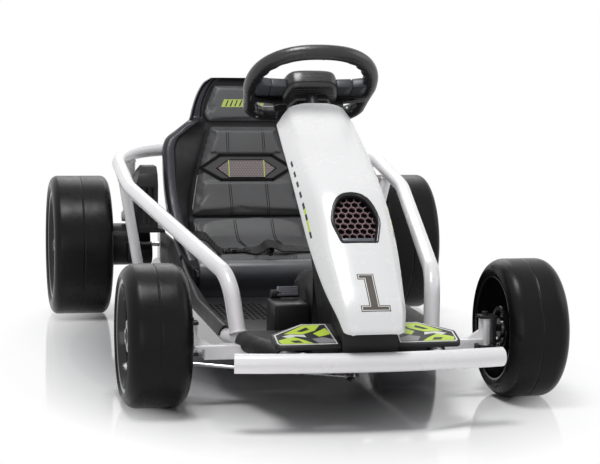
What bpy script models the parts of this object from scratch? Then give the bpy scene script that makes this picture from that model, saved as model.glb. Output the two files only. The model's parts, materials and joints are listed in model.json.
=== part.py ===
"""Children's electric drift kart: steel tube frame, moulded body, bucket seat and slick tyres.

Lengths are metres. +Z is up, the kart drives towards -Y, and +X is the driver's left. The origin
lies on the floor under the middle of the kart.
"""

import math

import bmesh
import bpy
from mathutils import Matrix, Vector

SIDES = (("left", 1), ("right", -1))
GAP = 0.0003  # between pieces that touch
PIN_PLAY = 0.0006  # round a pin that turns
MOVING_CLEARANCE = 0.006  # between a moving piece and the rest

# Wheels
WHEELBASE = 0.921
FRONT_AXLE_Y = -0.4185
FRONT_TRACK = 0.631
REAR_WIDTH = 0.830
TYRE_SIDES = 48
RIM_SIDES = 32
BEAD_INSET = 0.009
FRONT_TYRE_RADIUS = 0.118
FRONT_TYRE_WIDTH = 0.108
FRONT_RIM_RADIUS = 0.090
REAR_TYRE_RADIUS = 0.148
REAR_TYRE_WIDTH = 0.123
REAR_RIM_RADIUS = 0.114
FRONT_SHOULDER = (0.0266, 0.0289)  # its run across the tread, its drop
REAR_SHOULDER = (0.0162, 0.0205)
RIM_WALL = 0.004
RIM_DISC_DEPTH = 0.014
RIM_DISC_THICKNESS = 0.006
RIM_WINDOWS = 10
RIM_WINDOW_TURNS = (0.16, 0.22)  # half turns of a window at the hub and at the rim, in radians
HUB_RADIUS = 0.040
FRONT_HUB_INSET = 0.016  # from the tyre's inner face to the hub's inner end
REAR_HUB_INSET = 0.009
SPINDLE_RADIUS = 0.006

# Frame tubes
MAIN_TUBE_RADIUS = 0.0125
MAIN_TUBE_X = 0.178
MAIN_TUBE_Z = 0.100
MAIN_TUBE_REAR_Y = 0.535
MAIN_TUBE_BEND_Y = -0.340
MAIN_TUBE_FRONT_X = 0.105
SLEEVE_RADIUS = 0.0165
SLEEVE_START_Y = -0.404
SLEEVE_END_Y = -0.560
RAIL_RADIUS = 0.014
RAIL_FOOT = (0.168, -0.386)
RAIL_KNEE = (0.178, -0.352, 0.203)
RAIL_WAIST = (0.281, 0.212, 0.299)
RAIL_REAR_Z = 0.352
CROSSBAR_Y = 0.506
HOOP_BEND = 0.125
KNEE_BEND = 0.075
WAIST_BEND = 0.300
STRUT_RADIUS = 0.011
STRUT_TOP_Y = 0.322
STRUT_FOOT = (0.236, 0.352)
OUTRIGGER_HALF = 0.252
REAR_CROSSTUBE_Z = 0.208
REAR_CROSSTUBE_HALF = 0.262
LEG_TOP_X = 0.247

# Front beam, kingpins and steering linkage
BEAM_DEPTH = 0.023
BEAM_HEIGHT = 0.023
BEAM_TOP_Z = 0.100
KINGPIN_TO_WHEEL = 0.063  # from the kingpin out to the wheel's middle
KINGPIN_TUBE_RADIUS = 0.0105
KINGPIN_TUBE_BOTTOM = 0.089
KINGPIN_TUBE_TOP = 0.135
KINGPIN_RADIUS = 0.005
YOKE_ARM = 0.005
YOKE_PLATE = 0.004
YOKE_HALF_DEPTH = 0.012
ARM_LENGTH = 0.050
YOKE_SWEEP = 0.021  # the beam's end is cut away this far round the kingpin for the yoke
YOKE_HEADROOM = 0.005
TIE_ROD_RADIUS = 0.003
TIE_ROD_Z = 0.060
TIE_EYE_RADIUS = 0.0085
TIE_EYE_HEIGHT = 0.006
TIE_PIN_RADIUS = 0.0025
CRANK_THROW = 0.0262
CRANK_PLATE = 0.005
CRANK_PLAY = 0.0030  # the rods only shift sideways, so their eyes are wide round the crank's pin
CRANK_SHIFT = 0.0019  # the eyes' rest place towards the column, half of what the pin moves past them
CRANK_EYE_GAP = 0.003

# Front bumper
BUMPER_RADIUS = 0.0155
BUMPER_HALF = 0.2160
BUMPER_Z = 0.108
BUMPER_FRONT_Y = -0.6505
BUMPER_BOW = 0.019
BUMPER_BORE = 0.011
BUMPER_BORE_DEPTH = 0.018

# Rear axle and drive
REAR_AXLE_RADIUS = 0.006
GEARBOX_RADIUS = 0.045
GEARBOX_INNER_X = 0.204
GEARBOX_TO_TYRE = 0.003
MOTOR_SETBACK = 0.055
BRACKET_THICKNESS = 0.005
BRACKET_HALF_DEPTH = 0.022

# Floor tub and foot deck
TUB_FRONT_Y = -0.338
TUB_REAR_Y = 0.400
TUB_BOTTOM_Z = 0.083
TUB_FLOOR_Z = 0.089
TUB_SKIN = 0.0035
SEAT_WALL_Y = 0.142
SEAT_PAN_Z = 0.143
PAN_BOTTOM_Z = 0.0885
ROLL_OUTLINE = (  # y, z of the rounded wall under the cushion's front
    (0.1290, 0.0885),
    (0.1290, 0.1000),
    (0.1170, 0.1180),
    (0.1125, 0.1330),
    (0.1160, 0.1425),
    (0.1430, 0.1425),
)
ROLL_HALF = 0.1585
TOWER_REAR_Y = -0.165
TOWER_HALF = 0.030
TOWER_TOP_Z = 0.188
TOWER_FRONT_Z = 0.219
DECK_HALF = 0.150
DECK_FRONT_Y = BUMPER_FRONT_Y + 0.0385
DECK_OUTER_DEPTH = 0.041
DECK_INNER_DEPTH = 0.073
DECK_NOTCH_DEPTH = 0.026  # cut for the foot of the column's casing
DECK_FRONT_Z = 0.131
DECK_SLOPE = math.radians(17)
DECK_PLATE_Z = (0.1003, 0.1080)

# Steering column and wheel
WHEEL_CENTRE = (0.0, -0.158, 0.515)
COLUMN_ANGLE = math.radians(52)
COLUMN_END_Z = 0.076
COLUMN_RADIUS = 0.007
COLUMN_BUSH = (0.0105, 0.060)  # radius and length of the collar under the wheel
COLUMN_CHANNEL = 0.0138
WHEEL_HALF_WIDTH = 0.1215
WHEEL_TOP = 0.1160
WHEEL_SQUARENESS = 2.35
WHEEL_RIM_RADIUS = 0.0135
WHEEL_BOTTOM = 0.098
WHEEL_PLATE = 0.012
WHEEL_PAD = (0.052, 0.026, 0.034)

# Hood over the steering column: stations along its top line
HOOD_SKIN = 0.003
HOOD_STATIONS = (  # y, z of the top line, y, z of the lower edge, half width of the top and of the edge
    (-0.206, 0.4878, -0.2032, 0.4470, 0.045, 0.0698),
    (-0.262, 0.4520, -0.2560, 0.4200, 0.050, 0.0721),
    (-0.370, 0.4040, -0.3500, 0.3700, 0.052, 0.0749),
    (-0.470, 0.3530, -0.4300, 0.3160, 0.053, 0.0752),
    (-0.535, 0.2840, -0.5000, 0.2605, 0.052, 0.0721),
    (-0.590, 0.2300, -0.5700, 0.2060, 0.048, 0.0632),
    (-0.632, 0.1870, -0.6180, 0.1745, 0.044, 0.0545),
    (-0.6445, 0.1640, -0.6340, 0.1560, 0.041, 0.0490),
)
LINER_DROP = 0.34  # of the hood's depth
LINER_LIP = 0.006
CASING_HALF = 0.045
CASING_WAIST = 0.030  # half width behind the foot plates
CASING_REAR = ((-0.387, 0.1263), (-0.2174, 0.380))
CASING_FOOT_Z = 0.112
VENT_MIDDLE = (-0.5020, 0.3172)
VENT_SLOPE = math.radians(47)
VENT_OUTLINE = (  # x, distance up the hood
    (0.000, 0.053),
    (0.016, 0.050),
    (0.029, 0.039),
    (0.037, 0.022),
    (0.0415, 0.000),
    (0.0400, -0.017),
    (0.030, -0.044),
    (0.023, -0.048),
)
VENT_RIM = 0.007
VENT_PROUD = 0.003
VENT_DEPTH = 0.016
VENT_FLOOR = 0.003

# Pedal
PEDAL_BOX = ((-0.0945, -0.0335), (-0.334, -0.258), 0.1500)
PEDAL_PAD = (0.038, 0.008, 0.024)
PEDAL_SETBACK = 0.018
PEDAL_KNOB = (0.0075, 0.018)

# Seat: stations of the shell and the pads
SEAT_STATIONS = (  # z, y of the pad's face, half width, half width of the flat back, bolster reach
    (0.1435, 0.369, 0.158, 0.1280, 0.105),
    (0.1920, 0.394, 0.172, 0.1280, 0.085),
    (0.2600, 0.424, 0.182, 0.1225, 0.052),
    (0.3300, 0.451, 0.183, 0.1040, 0.036),
    (0.3620, 0.462, 0.181, 0.0940, 0.030),
    (0.3780, 0.468, 0.174, 0.0890, 0.027),
    (0.3970, 0.475, 0.150, 0.0830, 0.022),
    (0.4142, 0.480, 0.127, 0.0820, 0.018),
)
HEAD_STATIONS = (  # z, y of the pad's face, half width, half width of the flat front
    (0.4145, 0.480, 0.126, 0.0860),
    (0.4220, 0.482, 0.117, 0.0880),
    (0.4400, 0.487, 0.112, 0.0865),
    (0.4780, 0.498, 0.097, 0.0730),
    (0.4970, 0.503, 0.084, 0.0620),
    (0.5070, 0.507, 0.068, 0.0500),
)
SHELL_THICKNESS = 0.012
BOLSTER_TIP = 0.026
BACK_PAD_THICKNESS = 0.016
BACK_PAD = (  # z, half width
    (0.2170, 0.1240),
    (0.2407, 0.1210),
    (0.3058, 0.1060),
    (0.3540, 0.0920),
    (0.3792, 0.0835),
    (0.4056, 0.0740),
)
HEAD_PAD = ((0.4180, 0.0800), (0.4300, 0.0840), (0.4700, 0.0705), (0.4890, 0.0620))
HEAD_PAD_THICKNESS = 0.010
CUSHION_HALF = 0.124
CUSHION_FRONT_Y = 0.116
CUSHION_TOP_Z = 0.168
CUSHION_OUTLINE = (  # y, z round its side, with the rear turned up to the back cushion
    (CUSHION_FRONT_Y, 0.1433),
    (CUSHION_FRONT_Y, 0.1600),
    (CUSHION_FRONT_Y + 0.0080, CUSHION_TOP_Z),
    (0.3250, CUSHION_TOP_Z),
    (0.3620, 0.1790),
    (0.3940, 0.2145),
    (0.4185, 0.2145),
    (0.4092, 0.1920),
    (0.3840, 0.1433),
)
BELT_Y = 0.190
BELT_HALF = 0.150
BELT_DIP = 0.020
BUCKLE_PLACE = (-0.055, 0.172)
BELT_WIDTH = 0.030
BELT_THICKNESS = 0.003
BUCKLE = (0.036, 0.022, 0.012)

# Side pods
POD_X = (0.203, 0.249)
POD_Y = (0.352, 0.450)
POD_Z = (0.1903, 0.290)
POD_FLANGE = 0.0155  # over the tub's wall, which carries the pod
POD_DOME = 0.036
POD_RIBS = 4

REAR_AXLE_Y = FRONT_AXLE_Y + WHEELBASE
FRONT_WHEEL_X = FRONT_TRACK / 2
REAR_WHEEL_X = REAR_WIDTH / 2 - REAR_TYRE_WIDTH / 2
GEARBOX_OUTER_X = REAR_WHEEL_X - REAR_TYRE_WIDTH / 2 - GEARBOX_TO_TYRE
KINGPIN_X = FRONT_WHEEL_X - KINGPIN_TO_WHEEL
DECK_OUTER_REAR_Y = DECK_FRONT_Y + DECK_OUTER_DEPTH
DECK_INNER_REAR_Y = DECK_FRONT_Y + DECK_INNER_DEPTH
FACET_DROP = math.cos(math.pi / TYRE_SIDES)
FRONT_AXLE_Z = FRONT_TYRE_RADIUS * FACET_DROP
REAR_AXLE_Z = REAR_TYRE_RADIUS * FACET_DROP
OUTRIGGER_Z = MAIN_TUBE_Z - MAIN_TUBE_RADIUS - STRUT_RADIUS - GAP
BUMPER_Y = BUMPER_FRONT_Y + BUMPER_RADIUS
COLUMN_AXIS = Vector((0, math.cos(COLUMN_ANGLE), math.sin(COLUMN_ANGLE)))
COLUMN_END = Vector(WHEEL_CENTRE) - COLUMN_AXIS * ((WHEEL_CENTRE[2] - COLUMN_END_Z) / COLUMN_AXIS.z)
CRANK_DIRECTION = Vector((0, COLUMN_AXIS.z, -COLUMN_AXIS.y))
CRANK_PIN = COLUMN_END + CRANK_DIRECTION * CRANK_THROW
ARM_PIN_Y = FRONT_AXLE_Y + ARM_LENGTH
ARM_PIN_X = KINGPIN_X


# Finish


def material(name, colour, roughness, metallic=0.0):
    """A plain Principled BSDF, made once for each name."""
    found = bpy.data.materials.get(name)
    if found:
        return found
    made = bpy.data.materials.new(name)
    made.use_nodes = True
    shader = made.node_tree.nodes["Principled BSDF"]
    shader.inputs["Base Color"].default_value = (*colour, 1.0)
    shader.inputs["Roughness"].default_value = roughness
    shader.inputs["Metallic"].default_value = metallic
    return made


def white_paint():
    return material("white_paint", (0.86, 0.86, 0.87), 0.25)


def white_plastic():
    return material("white_plastic", (0.88, 0.88, 0.88), 0.18)


def black_plastic():
    return material("black_plastic", (0.03, 0.03, 0.032), 0.45)


def gloss_black():
    return material("gloss_black", (0.012, 0.012, 0.013), 0.15)


def black_rubber():
    return material("black_rubber", (0.025, 0.025, 0.027), 0.6)


def grey_leather():
    return material("grey_leather", (0.075, 0.076, 0.08), 0.5)


def steel():
    return material("steel", (0.55, 0.55, 0.56), 0.3, 1.0)


def webbing():
    return material("webbing", (0.015, 0.015, 0.016), 0.8)


# Modelling helpers


def add_object(name, mesh_data, finish, location=(0, 0, 0), turn_z=0.0, smooth_angle=35):
    """Makes an object of a bmesh, with its normals out and its round faces smooth."""
    bmesh.ops.recalc_face_normals(mesh_data, faces=mesh_data.faces)
    mesh = bpy.data.meshes.new(name)
    mesh_data.to_mesh(mesh)
    mesh_data.free()
    mesh.shade_smooth()
    mesh.set_sharp_from_angle(angle=math.radians(smooth_angle))
    mesh.materials.append(finish)
    made = bpy.data.objects.new(name, mesh)
    made.location = location
    made.rotation_euler = (0, 0, turn_z)
    bpy.context.scene.collection.objects.link(made)
    return made


def as_helper(obj):
    obj.hide_render = True
    obj.display_type = "WIRE"
    return obj


def combine(base, other, operation):
    """Joins another object to the base, or cuts it out, and keeps it as a helper."""
    modifier = base.modifiers.new(operation.lower(), "BOOLEAN")
    modifier.operation = operation
    modifier.object = as_helper(other)
    return base


def add_rings(mesh_data, rings, closed=False):
    """Skins rings that have as many points each, and caps the ends unless the row is closed."""
    made = [[mesh_data.verts.new(point) for point in ring] for ring in rings]
    pairs = list(zip(made, made[1:]))
    if closed:
        pairs.append((made[-1], made[0]))
    for lower, upper in pairs:
        for i in range(len(lower)):
            j = (i + 1) % len(lower)
            mesh_data.faces.new((lower[i], lower[j], upper[j], upper[i]))
    if not closed:
        mesh_data.faces.new(made[0])
        mesh_data.faces.new(made[-1])


def loft(rings, closed=False):
    mesh_data = bmesh.new()
    add_rings(mesh_data, rings, closed)
    return mesh_data


def bent_path(corners, bend_radii, step_deg=12):
    """Points along straight runs that arcs of the given radii join."""
    corners = [Vector(corner) for corner in corners]
    points = [corners[0]]
    for before, corner, after, radius in zip(corners, corners[1:], corners[2:], bend_radii):
        back = (before - corner).normalized()
        ahead = (after - corner).normalized()
        turn = math.pi - back.angle(ahead)
        centre = corner + (back + ahead).normalized() * radius / math.cos(turn / 2)
        start = corner + back * radius * math.tan(turn / 2) - centre
        axis = back.cross(ahead).normalized()
        steps = max(2, round(math.degrees(turn) / step_deg))
        for i in range(steps + 1):
            points.append(centre + Matrix.Rotation(-turn * i / steps, 3, axis) @ start)
    points.append(corners[-1])
    return points


def round_ring(radius, sides):
    turns = [2 * math.pi * (i + 0.5) / sides for i in range(sides)]
    return [(radius * math.cos(turn), radius * math.sin(turn)) for turn in turns]


def sweep_rings(points, section, side_hint=(1, 0, 0), closed=False):
    """Rings of a section carried along a path, mitred at each point."""
    points = [Vector(point) for point in points]
    count = len(points)
    side = Vector(side_hint)
    rings = []
    for i, point in enumerate(points):
        if closed:
            before, after = points[i - 1], points[(i + 1) % count]
        else:
            before, after = points[max(i - 1, 0)], points[min(i + 1, count - 1)]
        ahead = (after - before).normalized()
        side = (side - ahead * side.dot(ahead)).normalized()
        up = ahead.cross(side)
        rings.append([point + side * u + up * v for u, v in section])
    return rings


def tube(points, radius, sides=12, side_hint=(0, 0, 1), closed=False):
    return loft(sweep_rings(points, round_ring(radius, sides), side_hint, closed), closed)


def rod_between(start, end, radius, sides=12):
    direction = Vector(end) - Vector(start)
    hint = (1, 0, 0) if abs(direction.normalized().x) < 0.7 else (0, 0, 1)
    return tube((start, end), radius, sides, hint)


def block(low, high):
    mesh_data = bmesh.new()
    bmesh.ops.create_cube(mesh_data, size=1.0)
    size = Vector(high) - Vector(low)
    middle = (Vector(high) + Vector(low)) / 2
    for vert in mesh_data.verts:
        vert.co = Vector([vert.co[i] * size[i] for i in range(3)]) + middle
    return mesh_data


def bevelled(mesh_data, width, segments=1):
    bmesh.ops.bevel(
        mesh_data,
        geom=list(mesh_data.edges),
        offset=width,
        segments=segments,
        affect="EDGES",
        profile=0.5,
    )
    return mesh_data


def prism(outline, matrix, low, high):
    """An outline in its own plane, given depth from low to high along that plane's normal."""
    rings = [[matrix @ Vector((u, v, depth)) for u, v in outline] for depth in (low, high)]
    return loft(rings)


def turned(profile, sides, offset=0.5):
    """A closed outline of (x, radius) turned round the X axis."""
    turns = [2 * math.pi * (i + offset) / sides for i in range(sides)]
    rings = [
        [(x, radius * math.sin(turn), -radius * math.cos(turn)) for x, radius in profile]
        for turn in turns
    ]
    return loft(rings, closed=True)


def frame_matrix(origin, x_axis, z_axis):
    """The matrix of a plane with this origin, X direction and normal."""
    z_dir = Vector(z_axis).normalized()
    x_dir = Vector(x_axis).normalized()
    y_dir = z_dir.cross(x_dir)
    matrix = Matrix((x_dir, y_dir, z_dir)).transposed().to_4x4()
    matrix.translation = Vector(origin)
    return matrix


def between(table, position, column):
    """The value of a column at a position in a table sorted by its first column."""
    rows = list(zip(table, table[1:]))
    for low, high in rows:
        if position <= high[0] or (low, high) == rows[-1]:
            share = (position - low[0]) / (high[0] - low[0])
            return low[column] + (high[column] - low[column]) * share
    return None


# Wheels


def tyre_outline(radius, width, bead_radius, shoulder):
    half = width / 2
    run, drop = shoulder
    side = [
        (half - BEAD_INSET, bead_radius),
        (half - BEAD_INSET, bead_radius + 0.0050),
        (half - 0.0035, bead_radius + 0.0058),
    ]
    lowest = max(0.0, 1 - (radius - bead_radius - 0.009) / drop)
    first = math.asin(lowest)
    last = math.radians(88)
    for i in range(4):
        turn = first + (last - first) * i / 3
        side.append((half - run * (1 - math.cos(turn)), radius - drop * (1 - math.sin(turn))))
    return side + [(-x, r) for x, r in reversed(side)]


def rim_outline(radius, width, hub_inner_x):
    """The rim's section, with its outer face towards +X."""
    seat = radius * FACET_DROP - GAP
    lip_x = width / 2 - BEAD_INSET + GAP
    disc_x = lip_x - RIM_DISC_DEPTH
    bore = SPINDLE_RADIUS + PIN_PLAY
    inner = seat - RIM_WALL
    return (
        (lip_x, seat),
        (lip_x, radius + 0.004),
        (lip_x + 0.004, radius + 0.003),
        (lip_x + 0.004, radius - 0.003),
        (disc_x, inner - 0.006),
        (disc_x - 0.003, HUB_RADIUS + 0.004),
        (lip_x - 0.002, HUB_RADIUS - 0.010),
        (lip_x, bore),
        (hub_inner_x, bore),
        (hub_inner_x, HUB_RADIUS),
        (disc_x - RIM_DISC_THICKNESS - 0.003, HUB_RADIUS),
        (disc_x - RIM_DISC_THICKNESS, inner - 0.004),
        (disc_x - RIM_DISC_THICKNESS - 0.010, inner),
        (-lip_x - 0.004, inner),
        (-lip_x - 0.004, radius + 0.004),
        (-lip_x, radius + 0.004),
        (-lip_x, seat),
    )


def rim_window_cutter(name, radius, width):
    """Wedge windows between the spokes."""
    mesh_data = bmesh.new()
    low_r, high_r = HUB_RADIUS + 0.008, radius - RIM_WALL - 0.014
    x_low, x_high = width / 2 - 0.045, width / 2 + 0.010
    for i in range(RIM_WINDOWS):
        middle = 2 * math.pi * i / RIM_WINDOWS
        near, far = RIM_WINDOW_TURNS
        corners = ((low_r, -near), (low_r, near), (high_r, far), (high_r, -far))
        ring = [
            (r * math.sin(middle + turn), -r * math.cos(middle + turn)) for r, turn in corners
        ]
        add_rings(mesh_data, [[(x, y, z) for y, z in ring] for x in (x_low, x_high)])
    return as_helper(add_object(name, mesh_data, gloss_black()))


def wheel(place, side_name, centre, radius, width, rim_radius, shoulder, hub_inner_x, turn_z):
    tyre_name = f"{place}_tyre_{side_name}"
    outline = tyre_outline(radius, width, rim_radius, shoulder)
    add_object(tyre_name, turned(outline, TYRE_SIDES), black_rubber(), centre, turn_z)
    rim_name = f"{place}_rim_{side_name}"
    rim_mesh = turned(rim_outline(rim_radius, width, hub_inner_x), RIM_SIDES)
    rim = add_object(rim_name, rim_mesh, gloss_black(), centre, turn_z)
    cutter = rim_window_cutter(f"{rim_name}_windows", rim_radius, width)
    cutter.location = centre
    cutter.rotation_euler = (0, 0, turn_z)
    combine(rim, cutter, "DIFFERENCE")


def wheels():
    for name, side in SIDES:
        turn_z = 0.0 if side > 0 else math.pi
        hub_inner = -FRONT_TYRE_WIDTH / 2 + FRONT_HUB_INSET
        centre = (side * FRONT_WHEEL_X, FRONT_AXLE_Y, FRONT_AXLE_Z)
        size = (FRONT_TYRE_RADIUS, FRONT_TYRE_WIDTH, FRONT_RIM_RADIUS, FRONT_SHOULDER)
        wheel("front", name, centre, *size, hub_inner, turn_z)
        hub_inner = -REAR_TYRE_WIDTH / 2 + REAR_HUB_INSET
        centre = (side * REAR_WHEEL_X, REAR_AXLE_Y, REAR_AXLE_Z)
        size = (REAR_TYRE_RADIUS, REAR_TYRE_WIDTH, REAR_RIM_RADIUS, REAR_SHOULDER)
        wheel("rear", name, centre, *size, hub_inner, turn_z)


# Frame


def bumper_y(x):
    """The bowed bumper's middle line."""
    return BUMPER_Y + BUMPER_BOW * (x / BUMPER_HALF) ** 2


def main_tube_x(y):
    """The main tube's middle line: straight along the floor, then drawn in towards the bumper."""
    if y >= MAIN_TUBE_BEND_Y:
        return MAIN_TUBE_X
    share = (MAIN_TUBE_BEND_Y - y) / (MAIN_TUBE_BEND_Y - bumper_y(MAIN_TUBE_FRONT_X))
    return MAIN_TUBE_X + (MAIN_TUBE_FRONT_X - MAIN_TUBE_X) * share


def main_tube_point(side, y):
    share = max(0.0, (MAIN_TUBE_BEND_Y - y) / (MAIN_TUBE_BEND_Y - BUMPER_Y))
    return Vector((side * main_tube_x(y), y, MAIN_TUBE_Z + (BUMPER_Z - MAIN_TUBE_Z) * share))


def saddle_cut(body, name, start, end, radius):
    """Cuts a tube's round seat into a body, with the gap left round it."""
    cutter = rod_between(start, end, (radius + GAP) / math.cos(math.pi / 24), 24)
    combine(body, add_object(name, cutter, white_paint()), "DIFFERENCE")


def main_tubes():
    front_y = bumper_y(MAIN_TUBE_FRONT_X)
    for name, side in SIDES:
        path = [main_tube_point(side, y) for y in (MAIN_TUBE_REAR_Y, MAIN_TUBE_BEND_Y, front_y)]
        mesh_data = tube(path, MAIN_TUBE_RADIUS)
        base = add_object(f"main_tube_{name}", mesh_data, white_paint())
        combine(base, axle_bracket(name, side), "UNION")
        seat = tube(bumper_path(), BUMPER_RADIUS + 2 * GAP, 16)
        combine(base, add_object(f"main_tube_end_{name}", seat, white_paint()), "DIFFERENCE")
        sleeve(name, side)


def axle_bracket(name, side):
    """A plate welded on the main tube, which holds the rear axle and carries the cross tube."""
    low_x = side * MAIN_TUBE_X - BRACKET_THICKNESS / 2
    low = (low_x, REAR_AXLE_Y - BRACKET_HALF_DEPTH, MAIN_TUBE_Z)
    high_z = REAR_CROSSTUBE_Z - STRUT_RADIUS - GAP
    high = (low_x + BRACKET_THICKNESS, REAR_AXLE_Y + BRACKET_HALF_DEPTH, high_z)
    plate = add_object(f"axle_bracket_{name}", block(low, high), white_paint())
    ends = [(low_x - 0.01, REAR_AXLE_Y, REAR_AXLE_Z), (low_x + 0.015, REAR_AXLE_Y, REAR_AXLE_Z)]
    bore = add_object(
        f"axle_bracket_bore_{name}", rod_between(*ends, REAR_AXLE_RADIUS + GAP, 16), white_paint()
    )
    return combine(plate, bore, "DIFFERENCE")


def sleeve(name, side):
    """The black sleeve over the front of the main tube."""
    path = [main_tube_point(side, y) for y in (SLEEVE_START_Y, SLEEVE_END_Y)]
    outer = sweep_rings(path, round_ring(SLEEVE_RADIUS, 12), (0, 0, 1))
    inner = sweep_rings(path, round_ring(MAIN_TUBE_RADIUS + GAP, 12), (0, 0, 1))
    rings = [outer[0], outer[1], inner[1], inner[0]]
    sleeve_body = add_object(f"tube_sleeve_{name}", loft(rings, closed=True), black_rubber())
    low = (-KINGPIN_X, FRONT_AXLE_Y - BEAM_DEPTH / 2 - GAP, BEAM_TOP_Z - BEAM_HEIGHT - 0.01)
    high = (KINGPIN_X, FRONT_AXLE_Y + BEAM_DEPTH / 2 + GAP, BEAM_TOP_Z + GAP)
    slot = add_object(f"tube_sleeve_slot_{name}", block(low, high), black_rubber())
    combine(sleeve_body, slot, "DIFFERENCE")


def side_rails():
    """The white rails beside the driver, each up from the main tube and back to the crossbar."""
    for name, side in SIDES:
        foot_z = MAIN_TUBE_Z + MAIN_TUBE_RADIUS * 0.9
        corners = [
            (side * RAIL_FOOT[0], RAIL_FOOT[1], foot_z),
            (side * RAIL_KNEE[0], RAIL_KNEE[1], RAIL_KNEE[2]),
            (side * RAIL_WAIST[0], RAIL_WAIST[1], RAIL_WAIST[2]),
            (side * RAIL_WAIST[0], CROSSBAR_Y, RAIL_REAR_Z),
            (side * (RAIL_WAIST[0] - HOOP_BEND), CROSSBAR_Y, RAIL_REAR_Z),
        ]
        path = bent_path(corners, (KNEE_BEND, WAIST_BEND, HOOP_BEND - 0.001))
        hint = (side, 0, 0)
        rail = add_object(f"side_rail_{name}", tube(path, RAIL_RADIUS, 12, hint), white_paint())
        ends = [main_tube_point(side, y) for y in (MAIN_TUBE_BEND_Y, RAIL_FOOT[1] - 0.06)]
        saddle_cut(rail, f"rail_saddle_{name}", *ends, MAIN_TUBE_RADIUS)


def crossbar():
    half = RAIL_WAIST[0] - HOOP_BEND - GAP
    ends = ((-half, CROSSBAR_Y, RAIL_REAR_Z), (half, CROSSBAR_Y, RAIL_REAR_Z))
    add_object("hoop_crossbar", rod_between(*ends, RAIL_RADIUS), white_paint())


def rail_point(y):
    """A point of the left rail's middle line on its rear straight run."""
    share = (y - RAIL_WAIST[1]) / (CROSSBAR_Y - RAIL_WAIST[1])
    return Vector((RAIL_WAIST[0], y, RAIL_WAIST[2] + (RAIL_REAR_Z - RAIL_WAIST[2]) * share))


def hoop_corner_point(x):
    """A point of the left rail's middle line on the bend into the crossbar."""
    across = x - (RAIL_WAIST[0] - HOOP_BEND)
    y = CROSSBAR_Y - HOOP_BEND + math.sqrt(HOOP_BEND**2 - across**2)
    return Vector((x, y, rail_point(y).z))


def upright(name, top, top_run, foot):
    """A round upright from the rail above to the cross tube below, cut to sit on both."""
    body = add_object(name, rod_between(top, foot, STRUT_RADIUS), white_paint())
    saddle_cut(body, f"{name}_top_seat", top - top_run, top + top_run, RAIL_RADIUS + GAP)
    run = Vector((0.03, 0, 0))
    saddle_cut(body, f"{name}_foot_seat", foot - run, foot + run, STRUT_RADIUS + GAP)


def uprights():
    for name, side in SIDES:
        mirror = Vector((side, 1, 1))
        top = rail_point(STRUT_TOP_Y)
        run = rail_point(STRUT_TOP_Y + 0.03) - top
        foot = Vector((side * STRUT_FOOT[0], STRUT_FOOT[1], OUTRIGGER_Z))
        upright(f"rail_strut_{name}", top * mirror, run, foot)
        top = hoop_corner_point(LEG_TOP_X)
        run = hoop_corner_point(LEG_TOP_X - 0.012) - hoop_corner_point(LEG_TOP_X + 0.008)
        foot = Vector((side * LEG_TOP_X, REAR_AXLE_Y, REAR_CROSSTUBE_Z))
        upright(f"hoop_leg_{name}", top * mirror, run * mirror, foot)


def cross_tubes():
    rows = (
        ("rear_outrigger", OUTRIGGER_HALF, STRUT_FOOT[1], OUTRIGGER_Z),
        ("rear_crosstube", REAR_CROSSTUBE_HALF, REAR_AXLE_Y, REAR_CROSSTUBE_Z),
    )
    for name, half, y, z in rows:
        add_object(name, rod_between((-half, y, z), (half, y, z), STRUT_RADIUS), white_paint())


def front_beam():
    """A square tube under the main tubes, with the kingpin tube on each end."""
    half = KINGPIN_X - KINGPIN_TUBE_RADIUS * 0.5
    low = (-half, FRONT_AXLE_Y - BEAM_DEPTH / 2, BEAM_TOP_Z - BEAM_HEIGHT)
    high = (half, FRONT_AXLE_Y + BEAM_DEPTH / 2, BEAM_TOP_Z)
    beam = add_object("front_beam", block(low, high), white_paint())
    below = BEAM_TOP_Z - BEAM_HEIGHT - 0.005
    for name, side in SIDES:
        x = side * KINGPIN_X
        notch = block(
            (x - YOKE_SWEEP, FRONT_AXLE_Y - BEAM_DEPTH, below),
            (x + YOKE_SWEEP, FRONT_AXLE_Y + BEAM_DEPTH, KINGPIN_TUBE_BOTTOM + YOKE_HEADROOM),
        )
        combine(beam, add_object(f"beam_end_notch_{name}", notch, white_paint()), "DIFFERENCE")
        ends = ((x, FRONT_AXLE_Y, KINGPIN_TUBE_BOTTOM), (x, FRONT_AXLE_Y, KINGPIN_TUBE_TOP))
        post = add_object(
            f"kingpin_tube_{name}", rod_between(*ends, KINGPIN_TUBE_RADIUS, 20), white_paint()
        )
        combine(beam, post, "UNION")
        combine(beam, beam_gusset(name, side), "UNION")
        ends = ((x, FRONT_AXLE_Y, below), (x, FRONT_AXLE_Y, KINGPIN_TUBE_TOP + 0.005))
        bore = rod_between(*ends, KINGPIN_RADIUS + PIN_PLAY, 16)
        combine(beam, add_object(f"kingpin_bore_{name}", bore, white_paint()), "DIFFERENCE")
        ends = [main_tube_point(side, FRONT_AXLE_Y + run) for run in (0.06, -0.08)]
        saddle_cut(beam, f"beam_saddle_{name}", *ends, MAIN_TUBE_RADIUS)


def beam_gusset(name, side):
    """A web from the beam's top up to the kingpin tube."""
    outline = (
        (KINGPIN_X - 0.036, BEAM_TOP_Z - 0.002),
        (KINGPIN_X, BEAM_TOP_Z - 0.002),
        (KINGPIN_X, BEAM_TOP_Z + 0.022),
    )
    matrix = frame_matrix((0, FRONT_AXLE_Y, 0), (side, 0, 0), (0, -side, 0))
    return add_object(f"beam_gusset_{name}", prism(outline, matrix, -0.0025, 0.0025), white_paint())


def bumper_path():
    steps = 8
    xs = [BUMPER_HALF * (2 * i / steps - 1) for i in range(steps + 1)]
    return [(x, bumper_y(x), BUMPER_Z) for x in xs]


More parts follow.
